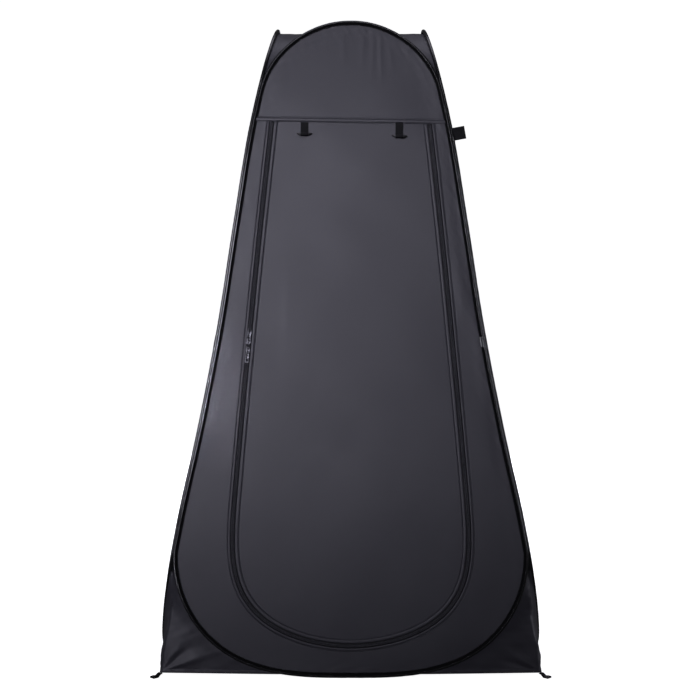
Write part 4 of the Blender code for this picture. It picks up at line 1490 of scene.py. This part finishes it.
@dataclass
class PullTab:
    """A pull tab that widens to its free end, with an eye, an oblong recess and a round hole."""

    name: str
    height: float
    way: Way
    pivot_out: float = 4.8 * MM
    length: float = 34.0 * MM
    neck: float = 9.0 * MM
    width: float = 12.5 * MM
    thick: float = 1.4 * MM
    corner: float = 2.6 * MM
    eye: tuple = (6.0 * MM, 6.0 * MM)
    hole: float = 3.9 * MM
    hole_from_end: float = 6.6 * MM
    recess: tuple = (4.2 * MM, 10.0 * MM, 0.35 * MM)

    @staticmethod
    def cutter(size: tuple, along: float, rounded: bool) -> object:
        """A block or a rod that cuts through the tab, at this distance along it."""
        if rounded:
            return rod(size[0], size[1], 32, along_x=False, place=(0, 0, along))
        made = block(size, (0, 0, along))
        apply_modifier(made, "BEVEL", width=min(size[0], size[2]) * 0.3, segments=3, limit_method="NONE",
                       affect="EDGES")
        return made

    @staticmethod
    def cut(tab: object, tool: object) -> None:
        """Cuts the tool out of the tab and removes the tool."""
        apply_modifier(tab, "BOOLEAN", operation="DIFFERENCE", object=tool, solver="EXACT")
        bpy.data.objects.remove(tool)

    def build(self) -> None:
        """Models the tab along its slider and places it at its pivot."""
        start = -self.thick / 2
        tab = block((self.neck, self.thick, self.length), (0, 0, start + self.length / 2))
        with edit_mode():
            select_faces(tab, lambda face: face.normal.z > 0.9)
            bpy.ops.transform.resize(value=(self.width / self.neck, 1, 1))
        self.round_corners(tab)
        for size, along, rounded in (
                ((self.hole, 0.010), start + self.length - self.hole_from_end, True),
                ((self.eye[0], 0.010, self.eye[1]), (self.thick + self.eye[1]) / 2, False)):
            self.cut(tab, self.cutter(size, along, rounded))
        wide, long, deep = self.recess
        tool = block((wide, deep * 2, long), (0, -self.thick / 2, start + self.length * 0.50))
        self.cut(tab, tool)
        finish_hard(tab, PLATED_ZINC, bevel=0.28 * MM, segments=2)
        if self.way is Way.DOWN:
            tab.data.transform(Matrix.Rotation(math.pi, 4, "Y"))
        x = -float(FORM.zip_half_width(self.height))
        put(tab, f"{self.name}_pull_tab", wall_frame(x, self.height, self.pivot_out) @ zip_turn(self.height))
        BENCH.ride(tab, f"{self.name}_pull", "zip_metal", f"{self.name}_zip_pull")

    def round_corners(self, tab: object) -> None:
        """Rounds the four upright corners of the tab's outline."""
        select_only(tab)
        with edit_mode():
            bpy.ops.mesh.select_mode(type="EDGE")
            bpy.ops.mesh.select_all(action="DESELECT")
            mesh = bmesh.from_edit_mesh(tab.data)
            for edge in mesh.edges:
                first, second = (corner.co for corner in edge.verts)
                edge.select_set(abs(first.y - second.y) > self.thick * 0.9)
            bmesh.update_edit_mesh(tab.data)
            bpy.ops.mesh.bevel(offset=self.corner, segments=6, affect="EDGES")
            bpy.ops.mesh.select_mode(type="FACE")


@dataclass
class ToggleTie:
    """A strap that hangs from the header seam and holds a toggle bar in its sewn end."""

    side: str
    x: float
    height: float
    lean: float
    width: float = 23 * MM
    thick: float = 1.4 * MM
    bore: float = 3.9 * MM
    top: float = 1.5925
    wrap: float = 300
    bar: tuple = (46 * MM, 3.8 * MM)
    bow: float = 3.0 * MM
    cloth_face: float = 1.3 * MM
    stitch_height: float = 5.6 * MM

    def build(self) -> None:
        """Makes the strap and its toggle."""
        bore, face = self.bore, self.bore + self.thick / 2
        placing = wall_frame(self.x, self.height, self.cloth_face + self.thick + bore)
        top = (self.top - self.height) * math.hypot(1, float(FORM.wall_slope(self.height)))
        around = np.radians(np.linspace(0, -self.wrap, 40))
        hang = np.linspace(top, 0, 26)[:-1]
        ripple = 0.35 * MM * np.sin(hang / top * 2.2 * math.pi) * step_up(top - hang, 0, 0.01)
        depth = np.concatenate([face - np.abs(ripple), face * np.cos(around)])
        climb = np.concatenate([hang, face * np.sin(around)])
        across = np.linspace(-0.5, 0.5, 13) * self.width
        edge = 0.18 * MM * np.cos(np.linspace(-0.5, 0.5, 13) * math.pi)
        pinch = np.concatenate([np.ones(25), 1 - 0.02 * np.sin(np.linspace(0, math.pi, 40))])
        rows = layers(across[None] * pinch[:, None], depth[:, None] - edge[None] * 0.6, climb[:, None])
        run = lengths_along(layers(depth, climb))
        strap = webbing(f"{self.side}_tie_webbing", rows, across, -run, placing, self.thick, back=True)
        apply_modifier(strap, "BEVEL", width=0.35 * MM, segments=2, limit_method="ANGLE",
                       angle_limit=math.radians(60))
        strap.data.shade_smooth()
        BENCH.ride(strap, "door", "webbing", f"{self.side}_tie_strap")
        self.stitch(placing)
        self.toggle(placing)

    def stitch(self, placing: Matrix) -> None:
        """The row of stitches that closes the strap's end over the toggle."""
        x = np.linspace(-0.42, 0.42, 30) * self.width
        points = placed(layers(x, self.bore - 0.25 * MM, self.stitch_height), placing)
        out = np.broadcast_to(-np.array(placing)[:3, 1], points.shape)
        STITCHING.sew(f"{self.side}_tie_stitches", points, out, "door", "webbing")

    def toggle(self, placing: Matrix) -> None:
        """Models the toggle bar: a round rod whose ends taper to a blunt point."""
        length, radius = self.bar
        bar = rod(radius, length * 0.52, 24)
        with edit_mode():
            for way in (1, -1):
                select_faces(bar, lambda face: face.normal.x * way > 0.9)
                for step, shrink in ((0.09, 0.90), (0.075, 0.80), (0.045, 0.62), (0.02, 0.60), (0.01, 0.45)):
                    extrude((way * length * step, 0, 0), (1, shrink, shrink))
        # The bar bows: its ends stand a little higher than its middle
        for corner in bar.data.vertices:
            corner.co.z += self.bow * abs(2 * corner.co.x / length) ** 2.6
        finish_hard(bar, ACETAL)
        put(bar, f"{self.side}_toggle_bar", placing @ Matrix.Rotation(math.radians(self.lean), 4, "Y"))
        BENCH.ride(bar, "door", "toggle_plastic", f"{self.side}_toggle")


@dataclass
class WebbingTab:
    """The short folded webbing that stands out from the front right corner."""

    height: float = 1.5570
    width: float = 38 * MM
    length: float = 36 * MM
    thick: float = 1.1 * MM
    gap: float = 0.55 * MM

    def build(self) -> None:
        """Makes the doubled webbing, from inside the seam out to its fold and back."""
        slope = math.atan(-float(FORM.wall_slope(self.height)))
        depth = float(FORM.half_depth(self.height))
        placing = (Matrix.Translation((depth, -(depth - FORM.hoop_spread), self.height))
                   @ Matrix.Rotation(-slope, 4, "Y"))
        inset = SLEEVES.tube * 0.6
        reach = inset + self.length
        bend = np.radians(np.linspace(-90, 90, 9))
        fold = reach - self.gap
        out = np.concatenate([np.linspace(inset, fold, 14), fold + self.gap * np.cos(bend[1:-1]),
                              np.linspace(fold, inset, 14)])
        side = np.concatenate([np.full(14, -self.gap), self.gap * np.sin(bend[1:-1]), np.full(14, self.gap)])
        across = np.linspace(-0.5, 0.5, 17) * self.width
        run = lengths_along(layers(out, side))
        rows = layers(out[:, None], side[:, None], across[None])
        tab = webbing("folded_corner_tab", rows, across, run, placing, self.thick)
        BENCH.ride(tab, "shell", "webbing", "corner_webbing_tab")


@dataclass
class PegLoop:
    """A loop of webbing that lies on the ground under the hem and takes a peg."""

    corner: str
    quarter: int
    width: float = 15 * MM
    length: float = 34 * MM
    high: float = 6.4 * MM
    sewn: float = 8.0 * MM
    sewn_up: float = 9.0 * MM
    thick: float = 1.5 * MM

    def build(self) -> None:
        """Makes the webbing from under the hem, out along the ground, round and back to the hem."""
        half = self.thick / 2
        radius = self.high / 2 - half
        middle = self.length - self.high / 2
        around = np.radians(np.linspace(0, 180, 15))
        share = np.linspace(0, 1, 26)
        lay = (self.sewn_up - half) * (1 - step_up(share, 0.12, 0.55))
        gap = 2 * radius * step_up(share, 0.20, 0.75) + self.thick * 1.02 * (1 - step_up(share, 0.20, 0.75))
        out = np.concatenate([middle * share[:-1], middle + radius * np.sin(around), middle * share[-2::-1]])
        up = half + np.concatenate([lay[:-1], radius * (1 - np.cos(around)), (lay + gap)[-2::-1]])
        across = np.linspace(-0.5, 0.5, 11) * self.width
        start = float(FORM.corner_line(FORM.hem_height)) * math.sqrt(2) + 2 * MM - self.sewn
        turn = Matrix.Rotation(math.radians(90 * self.quarter - 135), 4, "Z") @ Matrix.Translation((0, start, 0))
        run = lengths_along(layers(out, up))
        rows = layers(across[None], out[:, None], up[:, None])
        loop = webbing(f"{self.corner}_loop_webbing", rows, across, run, turn, self.thick, back=True)
        BENCH.ride(loop, "shell", "webbing", f"{self.corner}_peg_loop")


@dataclass
class Studio:
    """A pale floor, a white surround, soft lights and the camera."""

    camera_place: tuple = (-0.0021, -5.264, 1.2324)
    camera_tilt: float = 0.0628
    lens: float = 86.1
    floor_radius: float = 9.0
    dome_radius: float = 14.0
    world: float = 0.05
    # Each softbox's name, place, aim, size, power in watts and spread in degrees
    lights: tuple = (
        ("key_softbox", (-1.35, -4.0, 2.3), (-0.25, -0.35, 1.42), (1.1, 1.1), 10.4, 55),
        ("header_softbox", (-0.3, -3.0, 4.0), (0, -0.2, 1.80), (1.2, 1.2), 1.45, 50),
        ("fill_softbox", (3.0, -3.6, 2.2), (0, 0, 1.3), (1.6, 1.8), 6, 180),
        ("left_snoot", (-0.75, -3.5, 1.80), (-0.395, -0.42, 0.82), (0.08, 0.30), 0.05, 4),
        ("left_strip_softbox", (-2.6, -3.2, 0.6), (-0.47, -0.45, 0.45), (0.5, 0.7), 0.5, 28),
        ("top_softbox", (0, 0.5, 4.4), (0, 0, 1.85), (3.0, 2.0), 27, 180),
        ("left_softbox", (-4.2, 1.0, 1.5), (0, 0, 1.1), (2.0, 2.0), 9, 180),
        ("right_softbox", (4.2, 1.0, 1.5), (0, 0, 1.1), (2.0, 2.0), 32, 180),
        ("back_softbox", (0.4, 4.6, 1.1), (0, 0, 1.0), (2.4, 1.4), 100, 180),
    )

    def white(self) -> bpy.types.Material:
        """Plain matt white paper, which shines evenly so that it has no shadows."""
        made, _, shader = blank("white_backdrop_paper")
        shader.inputs["Base Color"].default_value = linear("ffffff")
        shader.inputs["Emission Color"].default_value = linear("ffffff")
        shader.inputs["Emission Strength"].default_value = 1.0
        shader.inputs["Specular IOR Level"].default_value = 0.0
        return made

    def backdrop(self) -> None:
        """Adds the floor and the surround, which the camera sees but the tent doesn't."""
        paper = self.white()
        bpy.ops.object.select_all(action="DESELECT")
        bpy.ops.mesh.primitive_circle_add(vertices=96, radius=self.floor_radius, fill_type="NGON",
                                          location=(0, 0, -1.5 * MM))
        floor = bpy.context.active_object
        floor.name = "studio_floor"
        bpy.ops.object.select_all(action="DESELECT")
        bpy.ops.mesh.primitive_uv_sphere_add(segments=64, ring_count=32, radius=self.dome_radius)
        dome = bpy.context.active_object
        dome.name = "studio_surround"
        for stage in (floor, dome):
            stage.data.materials.append(paper)
            stage.visible_diffuse = stage.visible_glossy = stage.visible_transmission = stage.visible_shadow = False

    @staticmethod
    def softbox(name: str, place: tuple, aim: tuple, size: tuple, power: float, spread: float) -> None:
        """Adds a rectangular softbox.

        Args:
            name: Its name.
            place: Where it stands.
            aim: The point that it faces.
            size: Its width and height.
            power: Its power in watts.
            spread: The angle in degrees that its grid lets light out at.
        """
        light = bpy.data.lights.new(name, "AREA")
        light.shape = "RECTANGLE"
        light.size, light.size_y = size
        light.energy = power
        light.spread = math.radians(spread)
        light.color = linear("f0eeff")[:3]
        made = bpy.data.objects.new(name, light)
        made.location = place
        made.rotation_euler = (Vector(aim) - Vector(place)).to_track_quat("-Z", "Y").to_euler()
        bpy.context.scene.collection.objects.link(made)

    def build(self) -> None:
        """Sets up the lights, the world and the camera."""
        self.backdrop()
        for name, place, aim, size, power, spread in self.lights:
            self.softbox(name, place, aim, size, power, spread)
        world = bpy.data.worlds.new("studio")
        world.use_nodes = True
        background = world.node_tree.nodes["Background"]
        background.inputs["Color"].default_value = linear("f4f5f8")
        background.inputs["Strength"].default_value = self.world
        bpy.context.scene.world = world
        data = bpy.data.cameras.new("camera")
        data.lens = self.lens
        data.sensor_width = 36.0
        data.clip_end = 100.0
        camera = bpy.data.objects.new("camera", data)
        camera.location = self.camera_place
        camera.rotation_euler = (math.pi / 2 - self.camera_tilt, 0, 0)
        bpy.context.scene.collection.objects.link(camera)
        bpy.context.scene.camera = camera
        bpy.context.scene.view_settings.view_transform = "Standard"


SLEEVES = HoopSleeves()
WALLS = Walls()


def main() -> None:
    """Builds the studio and every piece of the tent."""
    logging.basicConfig(level=logging.INFO, format="%(message)s")
    Studio().build()
    SLEEVES.build()
    Corners().build()
    WALLS.build()
    Roof().build()
    Gussets().build()
    ZipFastener().build()
    for name, height, way in (("upper", 0.9545, Way.UP), ("lower", 0.9215, Way.DOWN)):
        Slider(name, height, way).build()
        PullTab(name, height, way).build()
    ToggleTie("left", -0.1362, 1.5560, 0.0).build()
    ToggleTie("right", 0.1435, 1.5490, 3.0).build()
    WebbingTab().build()
    for quarter, corner in enumerate(CORNERS):
        PegLoop(corner, quarter).build()


if __name__ == "__main__":
    main()
